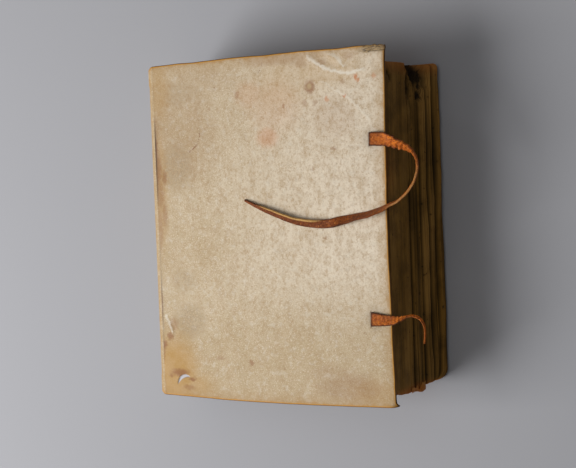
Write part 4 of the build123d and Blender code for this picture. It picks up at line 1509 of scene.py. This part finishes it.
def make_tie(name, route, shape, node, finish):
    """A leather strap along a route: a squared-off flat section that turns over, narrows and wrinkles.

    Round the section, an angle's cosine and sine are divided by the sixth root of the sum of their
    sixth powers, which gives a rectangle with round corners. The start dives into its slit, and
    the wrinkled stretch is rumpled by waves that run across the strap. The strap may be shifted
    aside from its route, and settled below it, by a few millimetres.
    """
    centre, heading, length = stations(route_line(name + "_route", route))
    at = np.linspace(0, length, STATIONS)[:, None]

    def here(key):
        """The strap's value of this name at each of its stations."""
        return profile(at, shape.get(key, LEVEL))

    across = np.cross(heading, [0, 0, 1])
    across = across / np.linalg.norm(across, axis=1, keepdims=True)
    rise = np.cross(across, heading)
    turn = np.radians(here("turn"))
    wide = across * np.cos(turn) + rise * np.sin(turn)
    deep = np.cross(wide, heading)
    around = np.linspace(0, 2 * np.pi, 65)[None, :]
    around = around + 0.25 * np.sin(2 * around)
    powers = np.abs(np.cos(around)) ** SQUARENESS + np.abs(np.sin(around)) ** SQUARENESS
    corner = powers ** (1 / SQUARENESS)
    flat, through = np.cos(around) / corner, np.sin(around) / corner

    tip = round_rim(length - at, 0.7)
    seed = shape["seed"]
    each_side = 3.0 * np.sign(flat)
    ragged = waves(at, each_side, "strap_side", seed)
    ragged = ragged + here("wrinkles") * waves(at, each_side, "strap_nicks", seed)
    side = (here("width") / 2 + ragged) * tip * flat
    crimps = here("wrinkles") * (waves(at, 0.8 * side, "strap_crimps", seed) + 0.1)
    cupped = CUPPING * (flat**2 - 0.4) * smooth(at, 0, 5)
    rumpled = (crimps + cupped + waves(at, side, "strap_lumps", seed)) * tip
    height = here("thickness") / 2 * tip * through + rumpled
    middle = centre + across * here("shifted")
    points = middle[:, None, :] + wide[:, None, :] * side[..., None] + deep[:, None, :] * height[..., None]
    dive = SLIT_DIVE * (1 - smooth(at, 0, 0.5)) ** 2
    points[..., 2] = points[..., 2] - dive - here("settled")
    caps = [points[row].mean(axis=0) + 0 * points[:1] for row in (0, -1)]
    points = np.concatenate([caps[0], points, caps[1]])

    # The pale cut edges are partly their own colour and partly a painted highlight, and the pale band on the
    # face is a painted highlight
    cut_edge = smooth(np.abs(flat), 0.93, 0.985) * smooth(-np.abs(through), -0.97, -0.8)
    highlight_band = smooth(flat, 0.5, 0.7) * smooth(through, -0.9, -0.6)
    # The dark rims are partly dark cut edges and partly painted contact shadow, the crimps' hollows get
    # painted shade, and the strap is darker where it dives into its slit
    rim = smooth(np.abs(flat), 0.66, 0.94)
    cut_start = 0.8 * smooth(2.0 - at, 0, 1.2)
    crimp_shade = np.clip(-crimps * 2.2, 0, 1)
    values = {
        "dark_and_shaded_face": here("dark_and_shaded_face") + 0 * side,
        "dark_edge_and_shade": np.clip(rim * here("dark_edge_and_shade") + crimp_shade + cut_start, 0, 1),
        "pale_edge_and_highlight": np.maximum(cut_edge * here("pale_edge_and_highlight"), highlight_band * here("highlight_strip")),
        "pricked": here("pricked") + 0 * side,
    }
    fields = {key: [np.concatenate([v[:1], v, v[-1:]])] for key, v in values.items()}
    piece = make_piece(name, [points], fields, "upper_board", finish, [node])


# Making the book

stained_vellum = vellum("stained_vellum", True)
plain_vellum = vellum("plain_vellum", False)
paper = leaf_paper()
pastedown_paper = plain_paper("pastedown_paper", (212, 196, 160), (192, 170, 128), (140, 98, 52))
lining_paper = solid_paper("lining_paper", (204, 186, 150), (160, 132, 92))
tawed_skin = solid_paper("tawed_skin", (222, 212, 192), (176, 156, 124))
sewing_linen = linen("sewing_linen", (214, 196, 158), (150, 120, 80))
endband_linen = linen("endband_linen", (196, 164, 112), (118, 84, 48))
leather = tie_leather()

make_tie("head_tie_leather", HEAD_ROUTE, HEAD_TIE_SHAPE, "upper_head_tie", leather)
make_tie("tail_tie_leather", TAIL_ROUTE, TAIL_TIE_SHAPE, "upper_tail_tie", leather)
make_upper_cover(stained_vellum)
make_lower_cover(plain_vellum)
make_spine(plain_vellum)
make_pastedown("upper", TOP_Z, -1, HEAD_Y, upper_lift, pastedown_paper)
make_pastedown("lower", 0.0, 1, LOWER_FORE_HALF, no_lift, pastedown_paper)
make_leaves("upper_leaves", LEDGED_GATHERINGS, GATHERINGS, paper)
make_leaves("lower_leaves", 0, LEDGED_GATHERINGS, paper)
make_torn_leaf(paper)
make_endband("head", endband_linen)
make_endband("tail", endband_linen)

# The finishes of the CAD nodes that stay in the picture, by the start of their names
CAD_FINISHES = {
    "sewing_support": tawed_skin,
    "sewing_thread": sewing_linen,
    "spine_lining": lining_paper,
    "head_endband_core": tawed_skin,
    "tail_endband_core": tawed_skin,
}
for node_name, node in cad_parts.items():
    for start_of_name, finish in CAD_FINISHES.items():
        if node_name.startswith(start_of_name):
            node.data.materials.clear()
            node.data.materials.append(finish)


# Floor and lights, in metres

FLOOR_HALF = 1.6
FLOOR_DROP = -0.0001
FLOOR_TONE = tone(164, 164, 168)
LAMPS = [
    # Name, place, aim, size and power
    ("window_light", (-0.84, -0.33, 0.9), (0, 0, 0.03), 0.78, 17.5),
    ("top_fill", (0.1, 0.2, 1.5), (0, 0, 0), 1.2, 4),
]
ROOM_STRENGTH = 0.11


def make_floor():
    """A flat, pale, matt grey square under the book."""
    finish, shader = new_finish("floor_finish", 0.9, 0.1)
    shader.inputs["Base Color"].default_value = FLOOR_TONE
    mesh = bpy.data.meshes.new("floor")
    corners = [(FLOOR_HALF * x, FLOOR_HALF * y, 0) for x, y in ((-1, -1), (1, -1), (1, 1), (-1, 1))]
    mesh.from_pydata(corners, [], [(0, 1, 2, 3)])
    mesh.materials.append(finish)
    floor = bpy.data.objects.new("floor", mesh)
    bpy.context.scene.collection.objects.link(floor)
    floor.location.z = FLOOR_DROP


def add_lamp(name, place, aim, size, power):
    """A square soft light at a place, turned to its aim."""
    data = bpy.data.lights.new(name, "AREA")
    data.energy = power
    data.size = size
    lamp = bpy.data.objects.new(name, data)
    bpy.context.scene.collection.objects.link(lamp)
    lamp.location = place
    lamp.rotation_euler = (Vector(aim) - Vector(place)).to_track_quat("-Z", "Y").to_euler()


make_floor()
for lamp_settings in LAMPS:
    add_lamp(*lamp_settings)
world = bpy.data.worlds.new("room")
world.use_nodes = True
room_light = world.node_tree.nodes["Background"]
room_light.inputs["Color"].default_value = (1, 1, 1, 1)
room_light.inputs["Strength"].default_value = ROOM_STRENGTH
bpy.context.scene.world = world
bpy.context.scene.view_settings.view_transform = "Standard"
